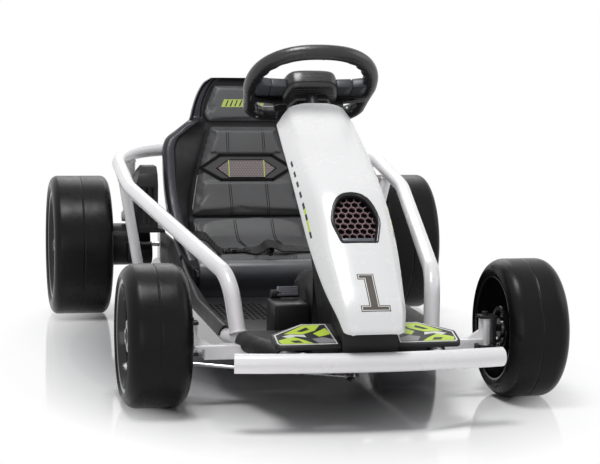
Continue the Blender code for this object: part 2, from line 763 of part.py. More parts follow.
def front_bumper():
    body = add_object("front_bumper", tube(bumper_path(), BUMPER_RADIUS, 16), white_paint())
    for name, side in SIDES:
        xs = (side * (BUMPER_HALF - BUMPER_BORE_DEPTH), side * (BUMPER_HALF + 0.01))
        ends = [(x, bumper_y(x), BUMPER_Z) for x in xs]
        bore = add_object(f"bumper_bore_{name}", rod_between(*ends, BUMPER_BORE, 16), gloss_black())
        combine(body, bore, "DIFFERENCE")


def rear_drive():
    """The fixed rear axle and the gearbox beside each driven wheel."""
    half = REAR_WIDTH / 2 - 0.010
    ends = ((-half, REAR_AXLE_Y, REAR_AXLE_Z), (half, REAR_AXLE_Y, REAR_AXLE_Z))
    add_object("rear_axle", rod_between(*ends, REAR_AXLE_RADIUS, 12), steel())
    for name, side in SIDES:
        xs = (side * GEARBOX_INNER_X, side * GEARBOX_OUTER_X)
        drum_ends = [(x, REAR_AXLE_Y, REAR_AXLE_Z) for x in xs]
        drum = rod_between(*drum_ends, GEARBOX_RADIUS, 20)
        gearbox = add_object(f"gearbox_{name}", drum, black_plastic())
        motor_y = REAR_AXLE_Y - MOTOR_SETBACK
        motor_xs = (side * GEARBOX_INNER_X, side * (GEARBOX_INNER_X + 0.052))
        motor_ends = [(x, motor_y, REAR_AXLE_Z - 0.012) for x in motor_xs]
        motor = rod_between(*motor_ends, 0.024, 16)
        combine(gearbox, add_object(f"motor_{name}", motor, black_plastic()), "UNION")
        bore_xs = (side * (GEARBOX_INNER_X - 0.01), side * (GEARBOX_OUTER_X + 0.01))
        bore_ends = [(x, REAR_AXLE_Y, REAR_AXLE_Z) for x in bore_xs]
        bore = rod_between(*bore_ends, REAR_AXLE_RADIUS + GAP, 16)
        combine(gearbox, add_object(f"gearbox_bore_{name}", bore, black_plastic()), "DIFFERENCE")


# Steering


def knuckles():
    """A yoke round each kingpin tube, with its bolt, stub axle and steering arm."""
    for name, side in SIDES:
        x = side * KINGPIN_X
        axis_x = x + side * (KINGPIN_TUBE_RADIUS + 0.003)
        plate_far_x = axis_x + side * YOKE_PLATE
        bottom_z = KINGPIN_TUBE_BOTTOM - GAP - YOKE_ARM
        top_z = KINGPIN_TUBE_TOP + GAP + YOKE_ARM
        lows = sorted((axis_x, plate_far_x))
        plate = block(
            (lows[0], FRONT_AXLE_Y - YOKE_HALF_DEPTH, bottom_z),
            (lows[1], FRONT_AXLE_Y + YOKE_HALF_DEPTH, top_z),
        )
        knuckle = add_object(f"knuckle_{name}", plate, black_plastic())
        arm_near_x = x - side * 0.011
        arm_xs = sorted((arm_near_x, plate_far_x - side * 0.001))
        for label, low_z, high_z in (
            ("top", KINGPIN_TUBE_TOP + GAP, top_z),
            ("bottom", bottom_z, KINGPIN_TUBE_BOTTOM - GAP),
        ):
            arm = block(
                (arm_xs[0], FRONT_AXLE_Y - YOKE_HALF_DEPTH + 0.001, low_z),
                (arm_xs[1], FRONT_AXLE_Y + YOKE_HALF_DEPTH - 0.001, high_z),
            )
            combine(knuckle, add_object(f"yoke_{label}_{name}", arm, black_plastic()), "UNION")
        bolt_ends = ((x, FRONT_AXLE_Y, bottom_z - 0.004), (x, FRONT_AXLE_Y, top_z + 0.006))
        bolt = rod_between(*bolt_ends, KINGPIN_RADIUS, 12)
        combine(knuckle, add_object(f"kingpin_{name}", bolt, steel()), "UNION")
        spindle_end = side * (FRONT_WHEEL_X + FRONT_TYRE_WIDTH / 2 - 0.012)
        spindle_ends = (
            (plate_far_x - side * 0.002, FRONT_AXLE_Y, FRONT_AXLE_Z),
            (spindle_end, FRONT_AXLE_Y, FRONT_AXLE_Z),
        )
        spindle = rod_between(*spindle_ends, SPINDLE_RADIUS, 12)
        combine(knuckle, add_object(f"spindle_{name}", spindle, steel()), "UNION")
        combine(knuckle, steering_arm(name, side, bottom_z), "UNION")
        pin_top = bottom_z + YOKE_ARM - 0.001
        pin_ends = (
            (side * ARM_PIN_X, ARM_PIN_Y, TIE_ROD_Z - TIE_EYE_HEIGHT / 2 - 0.002),
            (side * ARM_PIN_X, ARM_PIN_Y, pin_top),
        )
        pin = rod_between(*pin_ends, TIE_PIN_RADIUS, 12)
        combine(knuckle, add_object(f"arm_pin_{name}", pin, steel()), "UNION")


def steering_arm(name, side, bottom_z):
    near, far = FRONT_AXLE_Y + YOKE_HALF_DEPTH - 0.004, ARM_PIN_Y
    x = side * KINGPIN_X
    pin_x = side * ARM_PIN_X
    outline = (
        (x - side * 0.009, near),
        (x + side * 0.009, near),
        (pin_x + side * 0.008, far),
        (pin_x + side * 0.004, far + 0.008),
        (pin_x - side * 0.004, far + 0.008),
        (pin_x - side * 0.008, far),
    )
    arm = prism(outline, Matrix.Identity(4), bottom_z, bottom_z + YOKE_ARM)
    return add_object(f"steering_arm_{name}", arm, black_plastic())


def ring_outline(inner, outer, low, high):
    return ((low, inner), (low, outer), (high, outer), (high, inner))


def eye(centre, axis, inner, outer, height):
    """A ring round a pin along the axis."""
    mesh_data = turned(ring_outline(inner, outer, -height / 2, height / 2), 16)
    place = frame_matrix(centre, (1, 0, 0), axis) @ Matrix.Rotation(math.radians(-90), 4, "Y")
    bmesh.ops.transform(mesh_data, matrix=place, verts=mesh_data.verts)
    return mesh_data


def tie_rods():
    """A rod from each steering arm to the crank's pin, the left one over the crank."""
    for name, side in SIDES:
        outer = Vector((side * ARM_PIN_X, ARM_PIN_Y, TIE_ROD_Z))
        step = (CRANK_PLATE / 2 + TIE_EYE_HEIGHT / 2 + CRANK_EYE_GAP) * side
        inner = CRANK_PIN + COLUMN_AXIS * step - CRANK_DIRECTION * CRANK_SHIFT
        direction = (inner - outer).normalized()
        bush = TIE_PIN_RADIUS + CRANK_PLAY
        start = outer + direction * (TIE_EYE_RADIUS - 0.0025)
        end = inner - direction * (bush + 0.0010)
        body = add_object(f"tie_rod_{name}", rod_between(start, end, TIE_ROD_RADIUS, 10), steel())
        upright = (0, 0, 1)
        outer_eye = eye(
            outer, upright, TIE_PIN_RADIUS + PIN_PLAY, TIE_EYE_RADIUS, TIE_EYE_HEIGHT
        )
        combine(body, add_object(f"tie_outer_eye_{name}", outer_eye, steel()), "UNION")
        inner_eye = eye(inner, COLUMN_AXIS, bush, bush + 0.003, TIE_EYE_HEIGHT)
        combine(body, add_object(f"tie_inner_eye_{name}", inner_eye, steel()), "UNION")


def steering_column():
    """The column, with its crank and crank pin at the foot."""
    top = Vector(WHEEL_CENTRE) - COLUMN_AXIS * (WHEEL_PAD[2] / 2 + GAP)
    column = rod_between(COLUMN_END, top, COLUMN_RADIUS, 16)
    body = add_object("steering_column", column, black_plastic())
    bush_radius, bush_length = COLUMN_BUSH
    bush = rod_between(top - COLUMN_AXIS * bush_length, top, bush_radius, 16)
    combine(body, add_object("column_bush", bush, black_plastic()), "UNION")
    matrix = frame_matrix(COLUMN_END, (-1, 0, 0), COLUMN_AXIS)
    reach = -(CRANK_THROW + 0.007)
    outline = ((-0.007, 0.007), (0.007, 0.007), (0.006, reach), (-0.006, reach))
    half = CRANK_PLATE / 2
    crank = add_object("steering_crank", prism(outline, matrix, -half, half), steel())
    combine(body, crank, "UNION")
    pin_half = half + TIE_EYE_HEIGHT + CRANK_EYE_GAP + 0.0035
    pin_ends = (CRANK_PIN - COLUMN_AXIS * pin_half, CRANK_PIN + COLUMN_AXIS * pin_half)
    pin = add_object("crank_pin", rod_between(*pin_ends, TIE_PIN_RADIUS, 12), steel())
    combine(body, pin, "UNION")


def wheel_rim_path():
    """The wheel's grip line: a squarish top, round sides and a flat bottom with round corners."""
    radius = WHEEL_HALF_WIDTH - WHEEL_RIM_RADIUS
    high = WHEEL_TOP - WHEEL_RIM_RADIUS
    flat = -(WHEEL_BOTTOM - WHEEL_RIM_RADIUS)
    corner = 0.036
    start = math.radians(-18)
    points = [(radius * math.cos(start), radius * math.sin(start))]
    for i in range(15):
        turn = math.pi * i / 14
        across, up = math.cos(turn), math.sin(turn)
        power = 2 / WHEEL_SQUARENESS
        points.append((math.copysign(abs(across) ** power, across) * radius, up**power * high))
    points.append((-radius * math.cos(start), radius * math.sin(start)))
    centre_x = radius * math.cos(start) - corner * 1.02
    for turn_deg in (205, 225, 250, 270):
        turn = math.radians(turn_deg)
        points.append((-centre_x + corner * math.cos(turn), flat + corner * (1 + math.sin(turn))))
    for turn_deg in (270, 290, 315, 335):
        turn = math.radians(turn_deg)
        points.append((centre_x + corner * math.cos(turn), flat + corner * (1 + math.sin(turn))))
    return points


def steering_wheel():
    matrix = frame_matrix(WHEEL_CENTRE, (-1, 0, 0), COLUMN_AXIS)
    path = [matrix @ Vector((u, v, 0)) for u, v in wheel_rim_path()]
    rim = tube(path, WHEEL_RIM_RADIUS, 10, COLUMN_AXIS, closed=True)
    body = add_object("steering_wheel", rim, black_plastic())
    inner = WHEEL_HALF_WIDTH - 2 * WHEEL_RIM_RADIUS + 0.010
    spokes = (
        (-inner, 0.006),
        (-0.050, 0.008),
        (-0.046, 0.020),
        (0.046, 0.020),
        (0.050, 0.008),
        (inner, 0.006),
        (inner, -0.020),
        (0.056, -0.030),
        (0.046, -0.052),
        (0.052, -0.084),
        (-0.052, -0.084),
        (-0.046, -0.052),
        (-0.056, -0.030),
        (-inner, -0.020),
    )
    plate = add_object("wheel_spokes", prism(spokes, matrix, -WHEEL_PLATE, 0.001), black_plastic())
    combine(body, plate, "UNION")
    half_x, half_y, deep = WHEEL_PAD
    pad = bevelled(block((-half_x, -half_y - 0.004, -deep / 2), (half_x, half_y, deep / 2)), 0.006)
    bmesh.ops.transform(pad, matrix=matrix, verts=pad.verts)
    combine(body, add_object("wheel_pad", pad, black_plastic()), "UNION")


# Floor tub and deck


def tub_section(y):
    """The tub's section: floor, walls, and a rolled edge over the main tube on each side."""
    wall_top = between(TUB_WALLS, y, 1)
    wall_x = between(TUB_WALLS, y, 2)
    floor = SEAT_PAN_Z if y > SEAT_WALL_Y else TUB_FLOOR_Z
    groove = MAIN_TUBE_RADIUS + 1.2 * GAP
    flat = groove * math.cos(math.radians(15))
    edge = groove + TUB_SKIN
    bottom = PAN_BOTTOM_Z if y > SEAT_WALL_Y else TUB_BOTTOM_Z
    right = [(MAIN_TUBE_X - flat, bottom), (MAIN_TUBE_X - flat, MAIN_TUBE_Z)]
    for degrees in (165, 135, 105, 75, 45, 15):
        turn = math.radians(degrees)
        right.append((MAIN_TUBE_X + groove * math.cos(turn), MAIN_TUBE_Z + groove * math.sin(turn)))
    right.append((MAIN_TUBE_X + flat, MAIN_TUBE_Z))
    right.append((MAIN_TUBE_X + edge, MAIN_TUBE_Z))
    right.append((MAIN_TUBE_X + edge * math.cos(0.7), MAIN_TUBE_Z + edge * math.sin(0.7)))
    right.append((wall_x, wall_top))
    right.append((wall_x - TUB_SKIN * 1.3, wall_top))
    right.append((MAIN_TUBE_X - groove - TUB_SKIN, max(floor, MAIN_TUBE_Z + 0.004)))
    right.append((MAIN_TUBE_X - groove - TUB_SKIN - 0.004, floor))
    return [Vector((x, y, z)) for x, z in right + [(-x, z) for x, z in reversed(right)]]


TUB_WALLS = (  # y, height of the wall's top, x of the wall's top
    (TUB_FRONT_Y, 0.1175, 0.1850),
    (-0.060, 0.1180, 0.1860),
    (0.060, 0.1480, 0.1885),
    (0.200, 0.1900, 0.1910),
    (TUB_REAR_Y, 0.1900, 0.1910),
)


def floor_tub():
    """The moulded floor, stepped up to the seat pan, with the tower in front of the driver."""
    step = 0.001
    ys = (TUB_FRONT_Y, -0.060, 0.060, SEAT_WALL_Y - step, SEAT_WALL_Y + step, 0.200, TUB_REAR_Y)
    tub = add_object("floor_tub", loft([tub_section(y) for y in ys]), black_plastic())
    matrix = frame_matrix((0, 0, 0), (0, 1, 0), (1, 0, 0))
    roll = prism(ROLL_OUTLINE, matrix, -ROLL_HALF, ROLL_HALF)
    combine(tub, add_object("seat_roll", roll, black_plastic()), "UNION")
    rows = (  # y, half width, top z
        (TOWER_REAR_Y, TOWER_HALF * 0.82, TOWER_TOP_Z - 0.018),
        (TOWER_REAR_Y - 0.020, TOWER_HALF, TOWER_TOP_Z),
        (TUB_FRONT_Y + 0.004, TOWER_HALF, TOWER_FRONT_Z),
    )
    rings = []
    for y, half, top in rows:
        arch = [(half, TUB_FLOOR_Z - 0.002), (half * 0.98, top - half * 0.75)]
        arch += [(half * 0.72, top - half * 0.25), (half * 0.3, top)]
        arch += [(-x, z) for x, z in reversed(arch)]
        rings.append([(x, max(y, casing_rear_y(z) + 3 * GAP), z) for x, z in arch])
    combine(tub, add_object("floor_tower", loft(rings), black_plastic()), "UNION")


def casing_rear_y(z):
    """The slanted rear edge of the column's casing."""
    low, high = CASING_REAR
    return low[0] + (high[0] - low[0]) * (z - low[1]) / (high[1] - low[1])


def deck_top(y):
    return DECK_FRONT_Z + (y - DECK_FRONT_Y) * math.tan(DECK_SLOPE)


def between_tubes(front_y, rear_y):
    """An outline that fills the room between the sleeves of the two main tubes."""
    side = [(main_tube_x(y) - SLEEVE_RADIUS - 2 * GAP, y) for y in (front_y, rear_y)]
    return side + [(-x, y) for x, y in reversed(side)]


def foot_deck():
    """The foot plates behind the bumper, on a plate that rests on the front beam."""
    low_z, high_z = DECK_PLATE_Z
    low = BUMPER_Z + SLEEVE_RADIUS + GAP
    front_y = DECK_FRONT_Y + 0.002
    plate = prism(between_tubes(front_y, MAIN_TUBE_BEND_Y - 0.004), Matrix.Identity(4), low_z, high_z)
    deck = add_object("foot_deck", plate, black_plastic())
    riser = prism(between_tubes(front_y, DECK_INNER_REAR_Y), Matrix.Identity(4), low_z, low + 0.002)
    combine(deck, add_object("deck_riser", riser, black_plastic()), "UNION")
    half = [
        (DECK_HALF - 0.006, DECK_FRONT_Y),
        (DECK_HALF, DECK_FRONT_Y + 0.010),
        (DECK_HALF, DECK_OUTER_REAR_Y),
        (DECK_HALF * 0.64, DECK_INNER_REAR_Y),
        (CASING_HALF + 0.005, DECK_INNER_REAR_Y),
    ]
    outline = half + [(-x, y) for x, y in reversed(half)]
    rings = [[(x, y, low) for x, y in outline], [(x, y, deck_top(y)) for x, y in outline]]
    combine(deck, add_object("foot_plates", loft(rings), black_plastic()), "UNION")
    half_notch = CASING_HALF + 2 * GAP
    notch = block(
        (-half_notch, DECK_FRONT_Y - 0.01, low_z - 0.01),
        (half_notch, DECK_FRONT_Y + DECK_NOTCH_DEPTH, deck_top(DECK_INNER_REAR_Y) + 0.01),
    )
    combine(deck, add_object("deck_notch", notch, black_plastic()), "DIFFERENCE")
    combine(deck, column_channel("deck_column_bearing", COLUMN_RADIUS + PIN_PLAY), "DIFFERENCE")


def column_channel(name, radius=COLUMN_CHANNEL):
    """A cutter round the column: wide where it passes, close where it bears."""
    start = COLUMN_END - COLUMN_AXIS * 0.03
    end = Vector(WHEEL_CENTRE) + COLUMN_AXIS * 0.03
    return add_object(name, rod_between(start, end, radius, 16), black_plastic())


# Hood and column casing


def hood_frames():
    """For each hood station, its top point, the direction up from its lower edge, and its sizes."""
    rows = []
    for top_y, top_z, edge_y, edge_z, top, edge in HOOD_STATIONS:
        crown = Vector((0, top_y, top_z))
        rise = crown - Vector((0, edge_y, edge_z))
        rows.append((crown, rise.normalized(), top, edge, rise.length))
    return rows


def hood_half_section(top, edge, depth, inset=0.0):
    """Half of the hood's outline from its crown down to its edge, as (x, height)."""
    return (
        (0.0, -inset),
        (top * 0.55, -depth * 0.035 - inset),
        (top - inset * 0.3, -depth * 0.17 - inset),
        (top + (edge - top) * 0.45 - inset, -depth * 0.46 - inset * 0.5),
        (edge - inset, -depth),
    )


def both_halves(half):
    return list(half) + [(-x, h) for x, h in reversed(half) if x > 0]


def hood():
    rings = []
    for point, normal, top, edge, depth in hood_frames():
        outer = hood_half_section(top, edge, depth)
        inner = hood_half_section(top, edge, depth, HOOD_SKIN)
        across = [(-x, h) for x, h in reversed(outer[1:])] + list(outer)
        back = [(x, h) for x, h in reversed(inner)] + [(-x, h) for x, h in inner[1:]]
        rings.append([point + Vector((x, 0, 0)) + normal * h for x, h in across + back])
    body = add_object("nose_hood", loft(rings), white_plastic())
    combine(body, vent_cutter("hood_vent_cut", 2 * GAP), "DIFFERENCE")
    combine(body, column_channel("hood_channel"), "DIFFERENCE")


def vent_matrix():
    normal = (0, -math.sin(VENT_SLOPE), math.cos(VENT_SLOPE))
    return frame_matrix((0, *VENT_MIDDLE), (1, 0, 0), normal)


def vent_outline(grow=0.0):
    """The vent's egg outline, grown or shrunk by a width."""
    half = [Vector(point) for point in VENT_OUTLINE]
    full = half + [Vector((-p.x, p.y)) for p in reversed(half) if p.x > 0]
    grown = []
    for i, point in enumerate(full):
        along = (full[(i + 1) % len(full)] - full[i - 1]).normalized()
        outward = Vector((-along.y, along.x))
        if outward.dot(point) < 0:
            outward = -outward
        grown.append(point + outward * grow)
    return [(p.x, p.y) for p in grown]


def vent_cutter(name, grow):
    mesh_data = prism(vent_outline(grow), vent_matrix(), -0.030, 0.030)
    return add_object(name, mesh_data, gloss_black())


def hood_vent():
    """A cup with a bezel, let into the hood."""
    matrix = vent_matrix()
    outer = prism(vent_outline(0.0), matrix, -VENT_DEPTH, VENT_PROUD)
    body = add_object("hood_vent", outer, gloss_black())
    hollow = prism(vent_outline(-VENT_RIM), matrix, -VENT_DEPTH + VENT_FLOOR, VENT_PROUD + 0.01)
    combine(body, add_object("vent_hollow", hollow, gloss_black()), "DIFFERENCE")


def column_shroud():
    """The black underside of the hood and the casing round the column, down to the deck."""
    rings = []
    clear = HOOD_SKIN + 9 * GAP
    for point, normal, top, edge, depth in hood_frames():
        wall = hood_half_section(top, edge, depth, clear)[3:]
        drop = max(depth * LINER_DROP, 0.0085)
        half = [(top * 0.90, -drop), *wall, (edge - clear - 0.006, -depth - LINER_LIP)]
        section = half + [(-x, h) for x, h in reversed(half)]
        rings.append([point + Vector((x, 0, 0)) + normal * h for x, h in section])
    body = add_object("column_shroud", loft(rings), black_plastic())
    foot_z = DECK_PLATE_Z[1] + GAP
    front_y, notch_y = DECK_FRONT_Y - 0.004, DECK_FRONT_Y + DECK_NOTCH_DEPTH - 2 * GAP
    profile = (
        (front_y, CASING_FOOT_Z),
        (notch_y, CASING_FOOT_Z),
        (notch_y, deck_top(notch_y) + 3 * GAP),
        (DECK_INNER_REAR_Y + GAP, deck_top(DECK_INNER_REAR_Y) + 3 * GAP),
        (DECK_INNER_REAR_Y + 2 * GAP, foot_z),
        (CASING_REAR[0][0], foot_z),
        CASING_REAR[0],
        CASING_REAR[1],
        (-0.2140, 0.452),
        (-0.262, 0.430),
        (-0.370, 0.382),
        (-0.466, 0.328),
        (front_y + 0.010, 0.175),
    )
    matrix = frame_matrix((0, 0, 0), (0, 1, 0), (1, 0, 0))
    casing = add_object("column_casing", prism(profile, matrix, -CASING_HALF, CASING_HALF), black_plastic())
    for side in (1, -1):
        xs = sorted((side * CASING_WAIST, side * (CASING_HALF + 0.01)))
        waist = block((xs[0], DECK_INNER_REAR_Y + 2 * GAP, 0.0), (xs[1], 0.0, 0.6))
        combine(casing, add_object("casing_waist", waist, black_plastic()), "DIFFERENCE")
    combine(body, casing, "UNION")
    combine(body, column_channel("shroud_channel"), "DIFFERENCE")
    vent = prism(vent_outline(2 * GAP), vent_matrix(), -VENT_DEPTH - 2 * GAP, 0.030)
    combine(body, add_object("shroud_vent_cut", vent, black_plastic()), "DIFFERENCE")


# Pedal


def pedal():
    (low_x, high_x), (low_y, high_y), top_z = PEDAL_BOX
    low = (low_x, low_y, TUB_FLOOR_Z + GAP)
    box = bevelled(block(low, (high_x, high_y, top_z)), 0.003)
    add_object("pedal_box", box, black_plastic())
    width, thick, length = PEDAL_PAD
    middle_x = (low_x + high_x) / 2 + 0.006
    lean = math.radians(-28)
    place = Vector((middle_x, high_y - PEDAL_SETBACK, top_z))
    matrix = Matrix.Translation(place + Vector((0, 0, 0.0004))) @ Matrix.Rotation(lean, 4, "X")
    pad = bevelled(block((-width / 2, 0.0, 0.004), (width / 2, thick, length)), 0.002)
    bmesh.ops.transform(pad, matrix=matrix, verts=pad.verts)
    body = add_object("accelerator_pedal", pad, black_plastic())
    radius, reach = PEDAL_KNOB
    start = place + Vector((-width / 2 + 0.006, 0.010, radius + GAP))
    knob = rod_between(start, start - Vector((reach, 0, 0)), radius, 12)
    combine(body, add_object("pedal_knob", knob, black_plastic()), "UNION")


# Seat


def both_sides(side):
    return list(side) + [(-x, y) for x, y in reversed(side)]


def seat_shell():
    """The bucket's back with its head, and a bolster on each side that reaches forward."""
    rings = []
    for z, pad_y, half, flat, _ in SEAT_STATIONS:
        floor_y = pad_y + BACK_PAD_THICKNESS + GAP
        back_y = floor_y + SHELL_THICKNESS
        side = ((half * 0.45, back_y), (flat, back_y - 0.004), (flat, floor_y + 0.002), (flat, floor_y))
        rings.append([(x, y, z) for x, y in both_sides(side)])
    for z, pad_y, half, flat in HEAD_STATIONS:
        floor_y = pad_y + BACK_PAD_THICKNESS + GAP
        back_y = floor_y + SHELL_THICKNESS + 0.010
        side = ((half * 0.45, back_y), (half, back_y - 0.014), (half - 0.008, floor_y - 0.009), (flat, floor_y))
        rings.append([(x, y, z) for x, y in both_sides(side)])
    add_object("seat_shell", loft(rings), black_plastic())
    for name, side in SIDES:
        rings = []
        for z, pad_y, half, flat, reach in SEAT_STATIONS:
            floor_y = pad_y + BACK_PAD_THICKNESS + GAP
            back_y = floor_y + SHELL_THICKNESS
            tip_y = pad_y - reach
            inner = flat + GAP
            outline = (
                (inner, back_y - 0.004),
                (half * 0.93, back_y - 0.010),
                (half, back_y - 0.030),
                (half, tip_y + 0.010),
                (half - 0.008, tip_y),
                (half - BOLSTER_TIP + 0.006, tip_y),
                (half - BOLSTER_TIP, tip_y + 0.008),
                (inner, floor_y),
            )
            rings.append([(side * x, y, min(z, SEAT_STATIONS[-1][0] - GAP)) for x, y in outline])
        add_object(f"seat_bolster_{name}", loft(rings), black_plastic())


def pad_on_back(name, rows, thickness, finish):
    """A pad that lies in the shell against its back."""
    rings = []
    for z, half in rows:
        face_y = between(SEAT_STATIONS if z < HEAD_STATIONS[0][0] else HEAD_STATIONS, z, 1)
        back_y = face_y + BACK_PAD_THICKNESS
        front_y = back_y - thickness
        corner = 0.005
        half_ring = ((half, back_y), (half, front_y + corner), (half - corner, front_y))
        section = list(half_ring) + [(-x, y) for x, y in reversed(half_ring)]
        rings.append([(x, y, z) for x, y in section])
    add_object(name, loft(rings), finish)


def seat_pads():
    pad_on_back("back_cushion", BACK_PAD, BACK_PAD_THICKNESS, grey_leather())
    pad_on_back("headrest_pad", HEAD_PAD, HEAD_PAD_THICKNESS, grey_leather())
    matrix = frame_matrix((0, 0, 0), (0, 1, 0), (1, 0, 0))
    cushion = prism(CUSHION_OUTLINE, matrix, -CUSHION_HALF, CUSHION_HALF)
    add_object("seat_cushion", cushion, grey_leather())


def lap_belt():
    """A flat strap across the cushion, with its buckle near the driver's right."""
    height = CUSHION_TOP_Z + 2.5 * GAP + BELT_THICKNESS / 2
    path = bent_path(
        (
            (-BELT_HALF, BELT_Y, height + 0.014),
            (-BELT_HALF * 0.75, BELT_Y, height),
            (0.000, BELT_Y - BELT_DIP, height),
            (BELT_HALF * 0.75, BELT_Y, height),
            (BELT_HALF, BELT_Y, height + 0.014),
        ),
        (BELT_WIDTH * 0.7, BELT_HALF * 2, BELT_WIDTH * 0.7),
    )
    flat = BELT_WIDTH / 2
    thin = BELT_THICKNESS / 2
    section = ((-flat, -thin), (flat, -thin), (flat, thin), (-flat, thin))
    strap = add_object("lap_belt", loft(sweep_rings(path, section, (0, -1, 0))), webbing())
    size_x, size_y, size_z = BUCKLE
    middle = Vector((*BUCKLE_PLACE, height - thin + size_z / 2))
    half_size = Vector((size_x, size_y, size_z / 2))
    buckle = bevelled(block(middle - half_size, middle + half_size), 0.002)
    combine(strap, add_object("belt_buckle", buckle, black_plastic()), "UNION")


# Side pods


def side_pods():
    """A mock engine cover beside the seat: a domed box with upright ribs in front."""
    for name, side in SIDES:
        rows = (  # z, how far in the inner side reaches, insets of the outer side and of both ends
            (POD_Z[0], POD_FLANGE, 0.0, 0.0),
            (POD_Z[0] + 0.005, POD_FLANGE, 0.0, 0.0),
            (POD_Z[0] + 0.010, 0.0, 0.0, 0.0),
            (POD_Z[1], 0.0, 0.0, 0.0),
            (POD_Z[1] + POD_DOME * 0.6, 0.0, 0.008, 0.010),
            (POD_Z[1] + POD_DOME, 0.0, 0.016, 0.030),
        )
        rings = []
        for z, flange, inset_x, inset_y in rows:
            xs = (side * (POD_X[0] - flange), side * (POD_X[1] - inset_x))
            ys = (POD_Y[0] + inset_y, POD_Y[1] - inset_y)
            rings.append([(xs[0], ys[0], z), (xs[1], ys[0], z), (xs[1], ys[1], z), (xs[0], ys[1], z)])
        pod = add_object(f"side_pod_{name}", loft(rings), black_plastic())
        pitch = (POD_X[1] - POD_X[0]) / POD_RIBS
        grooves = bmesh.new()
        for i in range(POD_RIBS - 1):
            middle = side * (POD_X[0] + pitch * (i + 1))
            corners = ((middle - 0.0022, POD_Y[0] - 0.01), (middle + 0.0022, POD_Y[0] - 0.01))
            corners += ((middle + 0.0022, POD_Y[0] + 0.006), (middle - 0.0022, POD_Y[0] + 0.006))
            zs = (POD_Z[0] + 0.014, POD_Z[1] - 0.006)
            add_rings(grooves, [[(x, y, z) for x, y in corners] for z in zs])
        combine(pod, add_object(f"pod_grooves_{name}", grooves, black_plastic()), "DIFFERENCE")


def build():
    for obj in list(bpy.data.objects):
        bpy.data.objects.remove(obj, do_unlink=True)
    wheels()
    main_tubes()
    side_rails()
    crossbar()
    uprights()
    cross_tubes()
    front_beam()
    front_bumper()
    rear_drive()
    knuckles()
    tie_rods()
    steering_column()
    steering_wheel()
    floor_tub()
    foot_deck()
    hood()
    hood_vent()
    column_shroud()
    pedal()
    seat_shell()
    seat_pads()
    lap_belt()
    side_pods()


build()
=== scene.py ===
"""Looks of the electric drift kart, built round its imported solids.

Lengths are metres in the solids' frame: +Z is up, the kart drives towards -Y, +X is the driver's left.
"""

import json
import math

import bmesh
import bpy
from mathutils import Matrix, Vector
from mathutils.bvhtree import BVHTree


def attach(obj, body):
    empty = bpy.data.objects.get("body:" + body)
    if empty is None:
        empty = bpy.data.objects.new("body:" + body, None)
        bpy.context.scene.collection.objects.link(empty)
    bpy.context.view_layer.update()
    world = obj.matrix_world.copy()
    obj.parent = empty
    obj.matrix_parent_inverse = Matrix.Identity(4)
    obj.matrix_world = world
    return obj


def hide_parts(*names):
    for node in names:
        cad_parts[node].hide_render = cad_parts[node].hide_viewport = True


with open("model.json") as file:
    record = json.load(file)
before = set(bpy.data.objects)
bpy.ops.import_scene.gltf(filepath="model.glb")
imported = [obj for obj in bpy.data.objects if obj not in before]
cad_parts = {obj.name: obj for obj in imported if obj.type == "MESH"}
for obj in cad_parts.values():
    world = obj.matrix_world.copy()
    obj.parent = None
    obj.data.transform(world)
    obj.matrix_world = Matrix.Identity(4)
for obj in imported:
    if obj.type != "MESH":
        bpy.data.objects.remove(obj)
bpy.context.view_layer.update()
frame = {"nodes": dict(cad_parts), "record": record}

SIDES = (("left", 1), ("right", -1))
IMAGE_SIZE = (600, 464)

# Camera, solved from the photograph's tyres
CAMERA_PLACE = (-0.67890, -3.13830, 0.62718)
CAMERA_YAW = 0.220105
CAMERA_PITCH = 0.117122
CAMERA_ROLL = 0.0171533
CAMERA_FOCAL = 1701.327
CAMERA_CENTRE = (301.2638, 223.6484)


def camera():
    yaw, pitch = CAMERA_YAW, CAMERA_PITCH
    ahead = Vector((math.sin(yaw) * math.cos(pitch), math.cos(yaw) * math.cos(pitch), -math.sin(pitch)))
    level = Vector((math.cos(yaw), -math.sin(yaw), 0.0))
    upright = level.cross(ahead)
    c, s = math.cos(CAMERA_ROLL), math.sin(CAMERA_ROLL)
    right, up = c * level + s * upright, -s * level + c * upright
    data = bpy.data.cameras.new("camera")
    data.sensor_width = 36.0
    data.lens = CAMERA_FOCAL * data.sensor_width / IMAGE_SIZE[0]
    data.shift_x = (IMAGE_SIZE[0] / 2 - CAMERA_CENTRE[0]) / IMAGE_SIZE[0]
    data.shift_y = (CAMERA_CENTRE[1] - IMAGE_SIZE[1] / 2) / IMAGE_SIZE[0]
    made = bpy.data.objects.new("camera", data)
    matrix = Matrix((right, up, -ahead)).transposed().to_4x4()
    matrix.translation = Vector(CAMERA_PLACE)
    made.matrix_world = matrix
    bpy.context.scene.collection.objects.link(made)
    bpy.context.scene.camera = made


# Materials


def node(tree, kind, inputs=None, **settings):
    """Adds a shader node. An input takes a value or another node's output."""
    made = tree.nodes.new("ShaderNode" + kind)
    for key, value in settings.items():
        setattr(made, key, value)
    for key, value in (inputs or {}).items():
        if isinstance(value, bpy.types.NodeSocket):
            tree.links.new(value, made.inputs[key])
        else:
            made.inputs[key].default_value = value
    return made


def start(name):
    made = bpy.data.materials.new(name)
    made.use_nodes = True
    tree = made.node_tree
    place = node(tree, "TexCoord").outputs["Object"]
    return made, tree, tree.nodes["Principled BSDF"], place


def noise(tree, place, scale, detail=3.0, roughness=0.55):
    values = {"Vector": place, "Scale": scale, "Detail": detail, "Roughness": roughness}
    return node(tree, "TexNoise", values).outputs["Fac"]


def spread(tree, value, low, high, to_low, to_high):
    values = {"Value": value, "From Min": low, "From Max": high, "To Min": to_low, "To Max": to_high}
    return node(tree, "MapRange", values).outputs["Result"]


